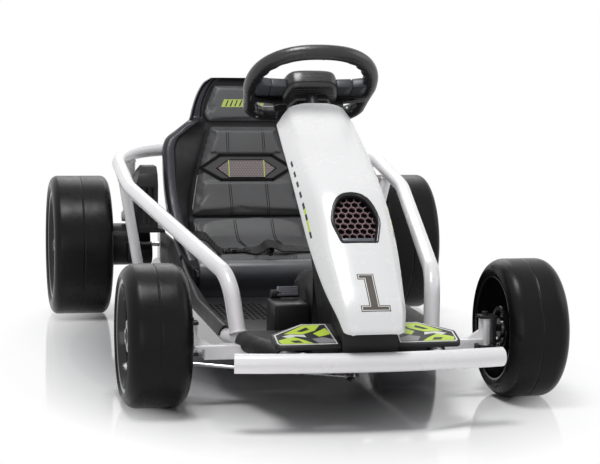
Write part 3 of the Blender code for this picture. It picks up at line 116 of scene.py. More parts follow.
def blend_colours(tree, share, first, second):
    made = node(tree, "Mix", data_type="RGBA")
    for socket, value in ((made.inputs["Factor"], share), (made.inputs[6], first), (made.inputs[7], second)):
        if isinstance(value, bpy.types.NodeSocket):
            tree.links.new(value, socket)
        elif isinstance(value, float):
            socket.default_value = value
        else:
            socket.default_value = (*value, 1.0)
    return made.outputs[2]


GRAIN_SCALE = 900.0
GRAIN_STRENGTH = 0.12


def plain(name, colour, other, roughness, depth=0.0004, patch=9.0, uneven=0.2, **sockets):
    """A surface of two near colours in soft patches, with fine grain in its bump and uneven roughness."""
    made, tree, shader, place = start(name)
    soft = noise(tree, place, patch, 4.0)
    share = spread(tree, soft, 0.35, 0.65, 0.0, 1.0)
    tree.links.new(blend_colours(tree, share, colour, other), shader.inputs["Base Color"])
    fine = noise(tree, place, GRAIN_SCALE, 2.0)
    low, high = roughness * (1 - uneven), roughness * (1 + uneven)
    rough = spread(tree, noise(tree, place, patch * 6, 5.0), 0.3, 0.7, low, high)
    tree.links.new(rough, shader.inputs["Roughness"])
    values = {"Height": fine, "Strength": GRAIN_STRENGTH, "Distance": depth}
    tree.links.new(node(tree, "Bump", values).outputs["Normal"], shader.inputs["Normal"])
    for key, value in sockets.items():
        shader.inputs[key.replace("_", " ")].default_value = value
    return made


def slot_materials():
    return {
        "white_paint": plain(
            "frame_paint", (0.82, 0.80, 0.81), (0.78, 0.765, 0.775), 0.24, patch=5.0, Coat_Weight=0.3
        ),
        "white_plastic": plain(
            "hood_plastic", (0.745, 0.745, 0.745), (0.738, 0.738, 0.738), 0.27,
            patch=3.0, depth=0.0001, uneven=0.05,
        ),
        "black_plastic": plain(
            "satin_plastic", (0.015, 0.015, 0.016), (0.021, 0.021, 0.023), 0.38, Specular_IOR_Level=0.20
        ),
        "gloss_black": plain(
            "gloss_plastic", (0.005, 0.005, 0.006), (0.008, 0.008, 0.009), 0.13, Specular_IOR_Level=0.4
        ),
        "black_rubber": plain(
            "sleeve_rubber", (0.009, 0.009, 0.010), (0.014, 0.014, 0.015), 0.5, Specular_IOR_Level=0.2
        ),
        "tyre_rubber": plain(
            "tyre_rubber", (0.0045, 0.0045, 0.0050), (0.0075, 0.0073, 0.0082), 0.30, Specular_IOR_Level=0.13
        ),
        "grey_leather": plain(
            "leatherette", (0.060, 0.060, 0.062), (0.075, 0.076, 0.078), 0.46, Specular_IOR_Level=0.4
        ),
        "steel": plain("bright_steel", (0.55, 0.55, 0.56), (0.48, 0.48, 0.50), 0.3, Metallic=1.0),
    }


# Stage


FLOOR_ELLIPSE = (2.4, 1.54, 0.0)
# The grey under the kart is painted shadow.
FLOOR_SHADOW_GREY = (0.20, 0.20, 0.21)
FLOOR_WHITE = (0.93, 0.93, 0.93)


def stage():
    """A glossy floor: a painted grey shadow under the kart, white round it, and glowing like the backdrop
    further out.
    """
    made, tree, shader, place = start("studio_floor")
    values = {0: place, 1: FLOOR_ELLIPSE}
    scaled = node(tree, "VectorMath", values, operation="MULTIPLY").outputs["Vector"]
    apart = node(tree, "VectorMath", {0: scaled}, operation="LENGTH").outputs["Value"]
    share = spread(tree, apart, 0.98, 1.36, 0.0, 1.0)
    # Painted shadow: the floor's colour turns grey under the kart.
    shadow_share = spread(tree, apart, 0.60, 1.00, 0.0, 1.0)
    tree.links.new(blend_colours(tree, shadow_share, FLOOR_SHADOW_GREY, FLOOR_WHITE), shader.inputs["Base Color"])
    shader.inputs["Roughness"].default_value = 0.07
    glow = node(tree, "Emission", {"Color": (1.0, 1.0, 1.0, 1.0), "Strength": 1.0})
    mixed = node(tree, "MixShader", {0: share})
    tree.links.new(shader.outputs[0], mixed.inputs[1])
    tree.links.new(glow.outputs[0], mixed.inputs[2])
    tree.links.new(mixed.outputs[0], tree.nodes["Material Output"].inputs["Surface"])
    mesh_data = bmesh.new()
    bmesh.ops.create_grid(mesh_data, x_segments=1, y_segments=1, size=12.0)
    mesh = bpy.data.meshes.new("studio_floor")
    mesh_data.to_mesh(mesh)
    mesh_data.free()
    mesh.materials.append(made)
    floor = bpy.data.objects.new("studio_floor", mesh)
    bpy.context.scene.collection.objects.link(floor)


def lights():
    world = bpy.data.worlds.new("studio")
    bpy.context.scene.world = world
    world.use_nodes = True
    tree = world.node_tree
    tree.nodes.clear()
    path = node(tree, "LightPath")
    seen = node(
        tree, "Math", {0: path.outputs["Is Camera Ray"], 1: path.outputs["Is Glossy Ray"]},
        operation="MAXIMUM",
    )
    seen = node(
        tree, "Math", {0: seen.outputs[0], 1: path.outputs["Is Transmission Ray"]}, operation="MAXIMUM"
    )
    fill = node(tree, "Background", {"Color": (0.93, 0.95, 1.0, 1.0), "Strength": 0.27})
    backdrop = node(tree, "Background", {"Color": (1.0, 1.0, 1.0, 1.0), "Strength": 1.0})
    mixed = node(tree, "MixShader", {0: seen.outputs[0], 1: fill.outputs[0], 2: backdrop.outputs[0]})
    out = node(tree, "OutputWorld")
    tree.links.new(mixed.outputs[0], out.inputs["Surface"])
    for name, place, size, power in (
        ("overhead", (-0.5, -0.7, 3.1), 1.0, 66.0),
        ("front", (-1.2, -3.6, 0.9), 1.6, 13.0),
        ("side", (2.9, -0.6, 1.9), 1.8, 15.0),
        ("back", (0.4, 3.0, 2.4), 2.0, 22.0),
    ):
        data = bpy.data.lights.new(name, "AREA")
        data.shape = "SQUARE"
        data.size = size
        data.energy = power
        lamp = bpy.data.objects.new(name, data)
        lamp.location = place
        towards = Vector((0, 0, 0.25)) - Vector(place)
        lamp.rotation_euler = towards.to_track_quat("-Z", "Y").to_euler()
        bpy.context.scene.collection.objects.link(lamp)


# Finishes: each is a material and the record's slot that it stands for


def finishes():
    made = {slot: (material, slot) for slot, material in slot_materials().items()}
    for name, slot, colour, other, roughness, metallic, sheen in (
        ("lime_print", "gloss_black", (0.50, 0.66, 0.07), (0.46, 0.62, 0.06), 0.35, 0.0, 0.3),
        ("dark_print", "gloss_black", (0.020, 0.020, 0.022), (0.028, 0.028, 0.030), 0.35, 0.0, 0.2),
        ("pale_print", "white_plastic", (0.70, 0.70, 0.68), (0.66, 0.66, 0.64), 0.35, 0.0, 0.3),
        ("grey_print", "gloss_black", (0.27, 0.26, 0.27), (0.22, 0.215, 0.22), 0.35, 0.0, 0.3),
        ("brown_print", "gloss_black", (0.105, 0.092, 0.082), (0.13, 0.115, 0.10), 0.35, 0.0, 0.2),
        ("mesh_metal", "steel", (0.34, 0.22, 0.24), (0.16, 0.10, 0.115), 0.35, 0.1, 0.4),
        # The sill's grey is a painted reflection on gloss black.
        ("sill_painted_reflection", "gloss_black", (0.13, 0.14, 0.16), (0.10, 0.11, 0.13), 0.3, 0.0, 0.3),
        ("wheel_black", "black_plastic", (0.010, 0.010, 0.011), (0.016, 0.016, 0.018), 0.30, 0.0, 0.55),
        ("spoke_grey", "black_plastic", (0.050, 0.052, 0.058), (0.038, 0.040, 0.045), 0.36, 0.0, 0.3),
        # The flange's lighter blue-grey is a painted sheen on the seat plastic.
        ("flange_painted_sheen", "black_plastic", (0.026, 0.026, 0.034), (0.020, 0.020, 0.027), 0.33, 0.0, 0.25),
        # The apron's grey is the seat plastic painted lighter, as painted light from the front.
        ("apron_painted_light", "black_plastic", (0.050, 0.051, 0.060), (0.042, 0.043, 0.050), 0.38, 0.0, 0.9),
        # Near-black without reflection: painted shade for hollows, slots and holes.
        ("hollow_painted_shade", "gloss_black", (0.003, 0.003, 0.003), (0.004, 0.004, 0.004), 0.7, 0.0, 0.03),
        ("pedal_grey", "black_plastic", (0.14, 0.14, 0.16), (0.11, 0.11, 0.13), 0.35, 0.0, 0.3),
        ("thread_pale", "grey_leather", (0.30, 0.29, 0.28), (0.25, 0.245, 0.24), 0.6, 0.0, 0.1),
        ("thread_dark", "grey_leather", (0.006, 0.006, 0.006), (0.009, 0.009, 0.009), 0.6, 0.0, 0.05),
        ("lens_dark", "grey_leather", (0.045, 0.044, 0.046), (0.055, 0.054, 0.056), 0.35, 0.0, 0.3),
        ("lens_pink", "grey_leather", (0.27, 0.225, 0.235), (0.23, 0.19, 0.20), 0.4, 0.0, 0.3),
        ("badge_lime", "grey_leather", (0.47, 0.56, 0.16), (0.42, 0.51, 0.13), 0.4, 0.0, 0.2),
        ("webbing", "black_plastic", (0.005, 0.005, 0.006), (0.009, 0.009, 0.010), 0.50, 0.0, 0.2),
    ):
        surface = plain(name, colour, other, roughness, Metallic=metallic, Specular_IOR_Level=sheen)
        made[name] = (surface, slot)
    return made


# Shapes


def fillet(points, sizes, steps=4):
    """Rounds the corners of a flat closed outline. A size is how far along its sides a corner reaches."""
    points = [Vector(point) for point in points]
    if not hasattr(sizes, "__len__"):
        sizes = [sizes] * len(points)
    made = []
    for i, (point, size) in enumerate(zip(points, sizes)):
        if not size:
            made.append(point)
            continue
        back, ahead = points[i - 1] - point, points[(i + 1) % len(points)] - point
        first = point + back.normalized() * min(size, back.length * 0.48)
        last = point + ahead.normalized() * min(size, ahead.length * 0.48)
        for j in range(steps + 1):
            t = j / steps
            made.append(first * (1 - t) ** 2 + point * 2 * t * (1 - t) + last * t**2)
    return made


def spline(rows, steps):
    """Rows of a table with smooth rows between them."""
    rows = [Vector(row) for row in rows]
    gaps = [max((b - a).length, 1e-6) for a, b in zip(rows, rows[1:])]
    chords = [(b - a) / gap for a, b, gap in zip(rows, rows[1:], gaps)]
    slopes = [chords[0]]
    for i in range(1, len(rows) - 1):
        total = gaps[i - 1] + gaps[i]
        slopes.append((chords[i - 1] * gaps[i] + chords[i] * gaps[i - 1]) / total)
    slopes.append(chords[-1])
    made = []
    for i, gap in enumerate(gaps):
        for j in range(steps):
            t = j / steps
            a, b = 2 * t**3 - 3 * t**2 + 1, t**3 - 2 * t**2 + t
            c, d = -2 * t**3 + 3 * t**2, t**3 - t**2
            made.append(rows[i] * a + slopes[i] * b * gap + rows[i + 1] * c + slopes[i + 1] * d * gap)
    return made + [rows[-1]]


def add_rings(mesh_data, rings, closed=False, index=0):
    """Skins rings that have as many points each, and caps the ends unless the row is closed."""
    made = [[mesh_data.verts.new(point) for point in ring] for ring in rings]
    pairs = list(zip(made, made[1:]))
    if closed:
        pairs.append((made[-1], made[0]))
    faces = []
    for lower, upper in pairs:
        for i in range(len(lower)):
            j = (i + 1) % len(lower)
            faces.append(mesh_data.faces.new((lower[i], lower[j], upper[j], upper[i])))
    if not closed:
        faces.append(mesh_data.faces.new(made[0]))
        faces.append(mesh_data.faces.new(made[-1]))
    for face in faces:
        face.material_index = index
    return faces


def bent_path(corners, bend_radii, step_deg=6):
    """Points along straight runs that arcs of the given radii join."""
    corners = [Vector(corner) for corner in corners]
    points = [corners[0]]
    for before, corner, after, radius in zip(corners, corners[1:], corners[2:], bend_radii):
        back = (before - corner).normalized()
        ahead = (after - corner).normalized()
        turn = math.pi - back.angle(ahead)
        centre = corner + (back + ahead).normalized() * radius / math.cos(turn / 2)
        first = corner + back * radius * math.tan(turn / 2) - centre
        axis = back.cross(ahead).normalized()
        steps = max(2, round(math.degrees(turn) / step_deg))
        for i in range(steps + 1):
            points.append(centre + Matrix.Rotation(-turn * i / steps, 3, axis) @ first)
    points.append(corners[-1])
    return points


def circle(radius, sides):
    turns = [2 * math.pi * i / sides for i in range(sides)]
    return [(radius * math.cos(turn), radius * math.sin(turn)) for turn in turns]


def sweep_rings(points, section, side_hint=(0, 0, 1), closed=False):
    """Rings of a section, or of one section for each point, carried along a path."""
    points = [Vector(point) for point in points]
    count = len(points)
    side = Vector(side_hint)
    rings = []
    for i, point in enumerate(points):
        if closed:
            before, after = points[i - 1], points[(i + 1) % count]
        else:
            before, after = points[max(i - 1, 0)], points[min(i + 1, count - 1)]
        ahead = (after - before).normalized()
        side = (side - ahead * side.dot(ahead)).normalized()
        up = ahead.cross(side)
        outline = section[i] if len(section) == count and hasattr(section[0][0], "__len__") else section
        rings.append([point + side * u + up * v for u, v in outline])
    return rings


def add_tube(mesh_data, points, radius, side_hint=(0, 0, 1), dome=0.0):
    """A round tube along a path, with domed ends if wanted."""
    rings = sweep_rings(points, circle(radius, TUBE_SIDES), side_hint)
    if dome:
        caps = []
        for at, step in ((0, 1), (-1, -1)):
            centre = Vector(points[at])
            inward = (Vector(points[at + step]) - centre).normalized()
            cap = []
            for share, back in ((0.97, 0.0), (0.80, 0.55), (0.45, 0.9)):
                move = -inward * dome * back
                cap.append([centre + (point - centre) * share + move for point in rings[at]])
            caps.append(cap)
        rings = list(reversed(caps[0])) + rings + caps[1]
    add_rings(mesh_data, rings)


def add_rod(mesh_data, start, end, radius, sides=24, index=0, bevel=0.0008):
    """A straight round rod with its end edges eased."""
    start, end = Vector(start), Vector(end)
    along = (end - start).normalized()
    hint = (1, 0, 0) if abs(along.x) < 0.7 else (0, 0, 1)
    ease = min(bevel, radius * 0.4, (end - start).length * 0.3)
    stops = ((start, radius - ease), (start + along * ease, radius))
    stops += ((end - along * ease, radius), (end, radius - ease))
    rings = []
    for point, size in stops:
        rings += sweep_rings((point, point + along), circle(size, sides), hint)[:1]
    return add_rings(mesh_data, rings, index=index)


def add_turned(mesh_data, profile, sides, matrix):
    """An outline of (along, radius) turned round the X axis, then placed by the matrix."""
    rings = []
    for i in range(sides):
        turn = 2 * math.pi * i / sides
        rings.append([matrix @ Vector((x, r * math.sin(turn), -r * math.cos(turn))) for x, r in profile])
    add_rings(mesh_data, rings, closed=True)


def add_prism(mesh_data, outline, matrix, low, high, ease=0.0, index=0):
    """An outline given depth along its plane's normal, with its outer edges eased."""
    outline = [Vector((p[0], p[1])) for p in outline]
    if not ease:
        stops = ((low, 0.0), (high, 0.0))
    else:
        stops = ((low, ease), (low + ease * 0.35, ease * 0.3), (low + ease, 0.0))
        stops += ((high - ease, 0.0), (high - ease * 0.35, ease * 0.3), (high, ease))
    rings = []
    for depth, inset in stops:
        shrunk = grown_outline(outline, -inset) if inset else outline
        rings.append([matrix @ Vector((p.x, p.y, depth)) for p in shrunk])
    return add_rings(mesh_data, rings, index=index)


def grown_outline(outline, width):
    """A closed outline moved out by a width, or in by a negative one."""
    outline = [Vector((p[0], p[1])) for p in outline]
    area = sum(a.x * b.y - b.x * a.y for a, b in zip(outline, outline[1:] + outline[:1]))
    turn = 1 if area > 0 else -1
    made = []
    for i, point in enumerate(outline):
        before, after = outline[i - 1], outline[(i + 1) % len(outline)]
        first, last = (point - before).normalized(), (after - point).normalized()
        normal = Vector((first.y + last.y, -first.x - last.x)) * turn
        if normal.length < 1e-9:
            made.append(point.copy())
            continue
        normal.normalize()
        open_by = max(normal.dot(Vector((first.y, -first.x)) * turn), 0.35)
        made.append(point + normal * width / open_by)
    return made


def mirrored(half):
    """A closed outline from the half of it with x at or over 0."""
    return list(half) + [(-x, y) for x, y in reversed(half) if x > 0]


def bar_outline(start, end, half, past):
    """The outline of a flat bar round a line, running past the line's ends."""
    along = (end - start).normalized()
    across = Vector((-along.y, along.x)) * half
    over = along * past
    return (start - over - across, end + over - across, end + over + across, start - over + across)


def frame_matrix(origin, x_axis, z_axis):
    """The matrix of a plane with this origin, X direction and normal."""
    z_dir = Vector(z_axis).normalized()
    x_dir = Vector(x_axis).normalized()
    y_dir = z_dir.cross(x_dir)
    matrix = Matrix((x_dir, y_dir, z_dir)).transposed().to_4x4()
    matrix.translation = Vector(origin)
    return matrix


def add_box(mesh_data, low, high, ease, matrix=None, index=0):
    """A box with rounded edges."""
    low, high = Vector(low), Vector(high)
    matrix = matrix or Matrix.Identity(4)
    outline = [(low.x, low.y), (high.x, low.y), (high.x, high.y), (low.x, high.y)]
    add_prism(mesh_data, fillet(outline, ease * 1.4, 3), matrix, low.z, high.z, ease * 0.6, index)


def piece(name, mesh_data, finish, body="chassis", over=(), angle=35):
    """A finished piece on its body. It stands for the nodes that it is over."""
    bmesh.ops.recalc_face_normals(mesh_data, faces=mesh_data.faces)
    mesh = bpy.data.meshes.new(name)
    mesh_data.to_mesh(mesh)
    mesh_data.free()
    mesh.shade_smooth()
    mesh.set_sharp_from_angle(angle=math.radians(angle))
    rows = finish if isinstance(finish, list) else [finish]
    for material, _ in rows:
        mesh.materials.append(material)
    made = bpy.data.objects.new(name, mesh)
    bpy.context.scene.collection.objects.link(made)
    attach(made, body)
    if over:
        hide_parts(*over)
    return made


MERGE_DISTANCE = 1e-6
FLAT_ANGLE = math.radians(2)
EDGE_ANGLE = math.radians(28)


def softened(node_name, width, finish, body):
    """A copy of a solid with its edges rounded, which stands for it."""
    mesh_data = bmesh.new()
    mesh_data.from_mesh(frame["nodes"][node_name].data)
    bmesh.ops.remove_doubles(mesh_data, verts=mesh_data.verts, dist=MERGE_DISTANCE)
    bmesh.ops.dissolve_limit(mesh_data, angle_limit=FLAT_ANGLE, verts=mesh_data.verts, edges=mesh_data.edges)
    edges = [edge for edge in mesh_data.edges if edge.is_manifold and edge.calc_face_angle(0) > EDGE_ANGLE]
    bmesh.ops.bevel(
        mesh_data, geom=edges, offset=width, segments=2, affect="EDGES", profile=0.5, clamp_overlap=True
    )
    bmesh.ops.remove_doubles(mesh_data, verts=mesh_data.verts, dist=MERGE_DISTANCE)
    for face in mesh_data.faces:
        face.material_index = 0
    return piece(f"{node_name}_body", mesh_data, finish, body, (node_name,), angle=40)


def applied(made):
    """Applies the piece's modifiers."""
    bpy.context.view_layer.update()
    evaluated = made.evaluated_get(bpy.context.evaluated_depsgraph_get())
    result = bpy.data.meshes.new_from_object(evaluated)
    made.modifiers.clear()
    made.data = result


def cut(made, cutter_data):
    """Cuts a shape out of a piece, for good."""
    mesh = bpy.data.meshes.new("cutter")
    bmesh.ops.recalc_face_normals(cutter_data, faces=cutter_data.faces)
    cutter_data.to_mesh(mesh)
    cutter_data.free()
    cutter = bpy.data.objects.new("cutter", mesh)
    bpy.context.scene.collection.objects.link(cutter)
    modifier = made.modifiers.new("cut", "BOOLEAN")
    modifier.operation = "DIFFERENCE"
    modifier.object = cutter
    applied(made)
    bpy.data.objects.remove(cutter, do_unlink=True)
    made.data.shade_smooth()
    made.data.set_sharp_from_angle(angle=math.radians(35))


# Wheels

TYRE_SIDES = 128
FACET_DROP = math.cos(math.pi / 48)
WHEELS = (  # place, x, y, tyre radius, tyre width, rim radius, shoulder run, shoulder drop, hub inset
    ("front", 0.3155, -0.4185, 0.118, 0.108, 0.090, 0.0266, 0.0289, 0.016),
    ("rear", 0.3535, 0.5025, 0.148, 0.123, 0.114, 0.0162, 0.0205, 0.009),
)
SPOKES = 10
HUB_RADIUS = 0.040
SPINDLE_RADIUS = 0.006
BEAD_INSET = 0.009


def tyre_profile(radius, width, bead, run, drop):
    """The tyre's outline as (along the axle, radius), from bead to bead, with a seam in its middle."""
    half = width / 2
    side = [
        (half - BEAD_INSET - 0.0005, bead - 0.0004),
        (half - BEAD_INSET + 0.0014, bead + 0.0002),
        (half - BEAD_INSET + 0.0018, bead + 0.0022),
        (half - BEAD_INSET + 0.0030, bead + 0.0046),
        (half - 0.0042, bead + 0.0060),
        (half - 0.0030, bead + 0.0072),
    ]
    first = math.asin(max(0.0, 1 - (radius - bead - 0.009) / drop))
    last = math.radians(89)
    for i in range(13):
        turn = first + (last - first) * i / 12
        side.append((half - run * (1 - math.cos(turn)), radius - drop * (1 - math.sin(turn))))
    tread_x = side[-1][0]
    side += [(tread_x * 0.55, radius), (0.0030, radius), (0.0012, radius)]
    side += [(0.0006, radius - 0.0006), (0.0, radius - 0.0007)]
    return side + [(-x, r) for x, r in reversed(side[:-1])]


def tyres(looks):
    for place, x, y, radius, width, bead, run, drop, _ in WHEELS:
        fine = radius * FACET_DROP
        profile = tyre_profile(fine, width, bead, run, drop)
        for name, side in SIDES:
            mesh_data = bmesh.new()
            matrix = Matrix.Translation((side * x, y, fine))
            add_turned(mesh_data, profile, TYRE_SIDES, matrix)
            piece(
                f"{place}_tyre_skin_{name}", mesh_data, looks["tyre_rubber"],
                f"wheel_{place}_{name}", (f"{place}_tyre_{name}",), angle=50,
            )


def rims(looks):
    for place, x, y, radius, width, bead, _, _, hub_inset in WHEELS:
        for name, side in SIDES:
            turn = Matrix.Identity(4) if side > 0 else Matrix.Rotation(math.pi, 4, "Z")
            matrix = Matrix.Translation((side * x, y, radius * FACET_DROP)) @ turn
            mesh_data = bmesh.new()
            lip = width / 2 - BEAD_INSET
            inner = bead - 0.004
            barrel = [
                (lip, bead - 0.0006), (lip + 0.0005, bead + 0.0036), (lip + 0.0022, bead + 0.0042),
                (lip + 0.0040, bead + 0.0030), (lip + 0.0042, bead - 0.0010), (lip + 0.0030, bead - 0.0042),
                (lip - 0.0040, inner - 0.0026), (lip - 0.0150, inner - 0.0042), (lip - 0.0240, inner - 0.0036),
                (lip - 0.0270, inner - 0.0005), (0.0, inner - 0.0002), (-lip + 0.004, inner),
                (-lip - 0.0030, inner), (-lip - 0.0042, bead - 0.0010), (-lip - 0.0040, bead + 0.0030),
                (-lip - 0.0022, bead + 0.0042), (-lip - 0.0005, bead + 0.0036), (-lip, bead - 0.0006),
            ]
            add_turned(mesh_data, barrel, 96, matrix)
            add_hub(mesh_data, matrix, lip, -width / 2 + hub_inset)
            add_spokes(mesh_data, matrix, lip, inner - 0.003)
            piece(
                f"{place}_rim_cast_{name}", mesh_data, [looks["gloss_black"], looks["steel"]],
                f"wheel_{place}_{name}", (f"{place}_rim_{name}",), angle=32,
            )


def add_hub(mesh_data, matrix, lip, hub_inner):
    bore = SPINDLE_RADIUS + 0.0006
    profile = [
        (lip - 0.0005, bore), (lip, bore + 0.002), (lip - 0.0002, 0.0120), (lip - 0.0018, 0.0135),
        (lip - 0.0020, 0.0235), (lip - 0.0032, 0.0262), (lip - 0.0090, 0.0300), (lip - 0.0150, 0.0370),
        (lip - 0.0190, HUB_RADIUS), (lip - 0.0240, HUB_RADIUS + 0.0005), (lip - 0.0265, HUB_RADIUS - 0.002),
        (hub_inner + 0.002, HUB_RADIUS - 0.002), (hub_inner, HUB_RADIUS - 0.004), (hub_inner, 0.030),
        (hub_inner + 0.006, 0.028), (hub_inner + 0.006, 0.018), (hub_inner, 0.016), (hub_inner, bore),
    ]
    add_turned(mesh_data, profile, 64, matrix)


def add_spokes(mesh_data, matrix, lip, rim_r):
    """Paired spokes from the hub out to the barrel."""
    for i in range(SPOKES):
        turn = 2 * math.pi * (i + 0.5) / SPOKES
        for lean in (-1, 1):
            rings = []
            stations = (  # radius, how far behind the lip, half width, depth
                (0.030, 0.0100, 0.0050, 0.0070), (0.040, 0.0140, 0.0044, 0.0078),
                (rim_r * 0.75, 0.0150, 0.0036, 0.0070), (rim_r + 0.002, 0.0110, 0.0040, 0.0080),
            )
            for j, (r, drop, half, deep) in enumerate(stations):
                x, y = lip - drop, lean * (0.0030 + 0.0060 * j / 3)
                corners = ((x, y - half * 0.6), (x, y + half * 0.6), (x - deep, y + half), (x - deep, y - half))
                spoke_turn = Matrix.Rotation(turn, 4, "X")
                outline = fillet(corners, 0.0012, 2)
                rings.append([matrix @ spoke_turn @ Vector((p.x, p.y, -r)) for p in outline])
            add_rings(mesh_data, rings)


# Frame

MAIN_TUBE_RADIUS = 0.0125
MAIN_TUBE_X = 0.178
MAIN_TUBE_Z = 0.100
MAIN_TUBE_BEND_Y = -0.340
MAIN_TUBE_FRONT_X = 0.105
MAIN_TUBE_REAR_Y = 0.535
TUBE_SIDES = 32
AXLE_PLATE_HALF = 0.022
AXLE_PLATE_TOP = 0.1967
RAIL_RADIUS = 0.014
RAIL_FOOT_Y = -0.386
RAIL_KNEE_Y = 0.212
RAIL_KNEE_Z = 0.299
STRUT_RADIUS = 0.011
REAR_AXLE_Y = 0.5025
BUMPER_RADIUS = 0.0155
BUMPER_HALF = 0.2160
BUMPER_Z = 0.108
BUMPER_Y = -0.6350
BUMPER_BOW = 0.019
CROSSBAR_Y = 0.506
RAIL_REAR_Z = 0.352
RAIL_X = 0.281
HOOP_BEND = 0.125
HOOP_LEG_X = 0.247
STRUT_TOP_Y = 0.322
STRUT_FOOT_X = 0.236
OUTRIGGER_Y = 0.352
OUTRIGGER_Z = 0.0762
CROSSTUBE_Z = 0.208


def bumper_y(x):
    return BUMPER_Y + BUMPER_BOW * (x / BUMPER_HALF) ** 2


def rail_z(y):
    """The height of the side rail's middle line behind its knee."""
    return RAIL_KNEE_Z + (RAIL_REAR_Z - RAIL_KNEE_Z) * (y - RAIL_KNEE_Y) / (CROSSBAR_Y - RAIL_KNEE_Y)


def main_tube_point(side, y):
    if y >= MAIN_TUBE_BEND_Y:
        return Vector((side * MAIN_TUBE_X, y, MAIN_TUBE_Z))
    share_x = (MAIN_TUBE_BEND_Y - y) / (MAIN_TUBE_BEND_Y - bumper_y(MAIN_TUBE_FRONT_X))
    share_z = (MAIN_TUBE_BEND_Y - y) / (MAIN_TUBE_BEND_Y - BUMPER_Y)
    x = MAIN_TUBE_X + (MAIN_TUBE_FRONT_X - MAIN_TUBE_X) * share_x
    return Vector((side * x, y, MAIN_TUBE_Z + (BUMPER_Z - MAIN_TUBE_Z) * share_z))


def add_bead(mesh_data, centre, axis, radius, thick=0.0018):
    """A weld bead round a tube's end, with small ripples."""
    axis = Vector(axis).normalized()
    hint = (1, 0, 0) if abs(axis.x) < 0.7 else (0, 0, 1)
    ring = sweep_rings((Vector(centre), Vector(centre) + axis), circle(1.0, 72), hint)[0]
    rings = []
    for i, point in enumerate(ring):
        out = (point - Vector(centre)).normalized()
        size = thick * (0.85 + 0.25 * math.sin(i * 2 * math.pi / 3) ** 2)
        middle = Vector(centre) + out * (radius + thick * 0.1)
        rings.append([middle + out * u + axis * v for u, v in circle(size, 8)])
    add_rings(mesh_data, rings, closed=True)


def frame_tubes(looks):
    """The main tubes, side rails, crossbar and bumper, with their weld beads."""
    white = looks["white_paint"]
    for name, side in SIDES:
        mesh_data = bmesh.new()
        front = bumper_y(MAIN_TUBE_FRONT_X) + BUMPER_RADIUS * 0.9
        corners = [main_tube_point(side, y) for y in (MAIN_TUBE_REAR_Y, MAIN_TUBE_BEND_Y, front)]
        path = bent_path(corners, (0.05,), 3)
        add_tube(mesh_data, path, MAIN_TUBE_RADIUS, dome=0.003)
        ahead = (path[-1] - path[-2]).normalized()
        add_bead(mesh_data, path[-1] - ahead * 0.002, ahead, MAIN_TUBE_RADIUS)
        low = (side * MAIN_TUBE_X - 0.0025, REAR_AXLE_Y - AXLE_PLATE_HALF, MAIN_TUBE_Z)
        high = (side * MAIN_TUBE_X + 0.0025, REAR_AXLE_Y + AXLE_PLATE_HALF, AXLE_PLATE_TOP)
        add_box(mesh_data, low, high, 0.0012)
        piece(f"main_tube_skin_{name}", mesh_data, white, over=(f"main_tube_{name}",), angle=40)
        mesh_data = bmesh.new()
        corners = [
            (side * 0.168, RAIL_FOOT_Y, MAIN_TUBE_Z + MAIN_TUBE_RADIUS * 0.9),
            (side * 0.178, -0.352, 0.203),
            (side * RAIL_X, RAIL_KNEE_Y, RAIL_KNEE_Z),
            (side * RAIL_X, CROSSBAR_Y, RAIL_REAR_Z),
            (side * (RAIL_X - HOOP_BEND), CROSSBAR_Y, RAIL_REAR_Z),
        ]
        path = bent_path(corners, (0.075, 0.300, HOOP_BEND - 0.001), 4)
        add_tube(mesh_data, path, RAIL_RADIUS, (side, 0, 0))
        add_bead(mesh_data, path[0] + Vector((0, 0, 0.002)), path[1] - path[0], RAIL_RADIUS)
        piece(f"side_rail_skin_{name}", mesh_data, white, over=(f"side_rail_{name}",), angle=40)
    mesh_data = bmesh.new()
    half = RAIL_X - HOOP_BEND
    add_rod(mesh_data, (-half, CROSSBAR_Y, RAIL_REAR_Z), (half, CROSSBAR_Y, RAIL_REAR_Z), RAIL_RADIUS, 32)
    for x in (-half, half):
        add_bead(mesh_data, (x, CROSSBAR_Y, RAIL_REAR_Z), (1, 0, 0), RAIL_RADIUS, 0.0012)
    piece("hoop_crossbar_skin", mesh_data, white, over=("hoop_crossbar",))
    mesh_data = bmesh.new()
    xs = [BUMPER_HALF * (i / 20 - 1) for i in range(41)]
    path = [(x, bumper_y(x), BUMPER_Z) for x in xs]
    rings = sweep_rings(path, circle(BUMPER_RADIUS, 36))
    ends = []
    for at, step in ((0, 1), (-1, -1)):
        centre = Vector(path[at])
        inward = (Vector(path[at + step]) - centre).normalized()
        row = []
        for share, deep in ((0.96, 0.0), (0.86, 0.0), (0.80, 0.0008), (0.78, 0.016), (0.30, 0.018)):
            row.append([centre + (p - centre) * share + inward * deep for p in rings[at]])
        ends.append((row, inward))
    rings[0] = [p + ends[0][1] * 0.0006 for p in rings[0]]
    rings[-1] = [p + ends[1][1] * 0.0006 for p in rings[-1]]
    add_rings(mesh_data, list(reversed(ends[0][0])) + rings + ends[1][0])
    piece("front_bumper_skin", mesh_data, white, over=("front_bumper",), angle=40)


# Hood

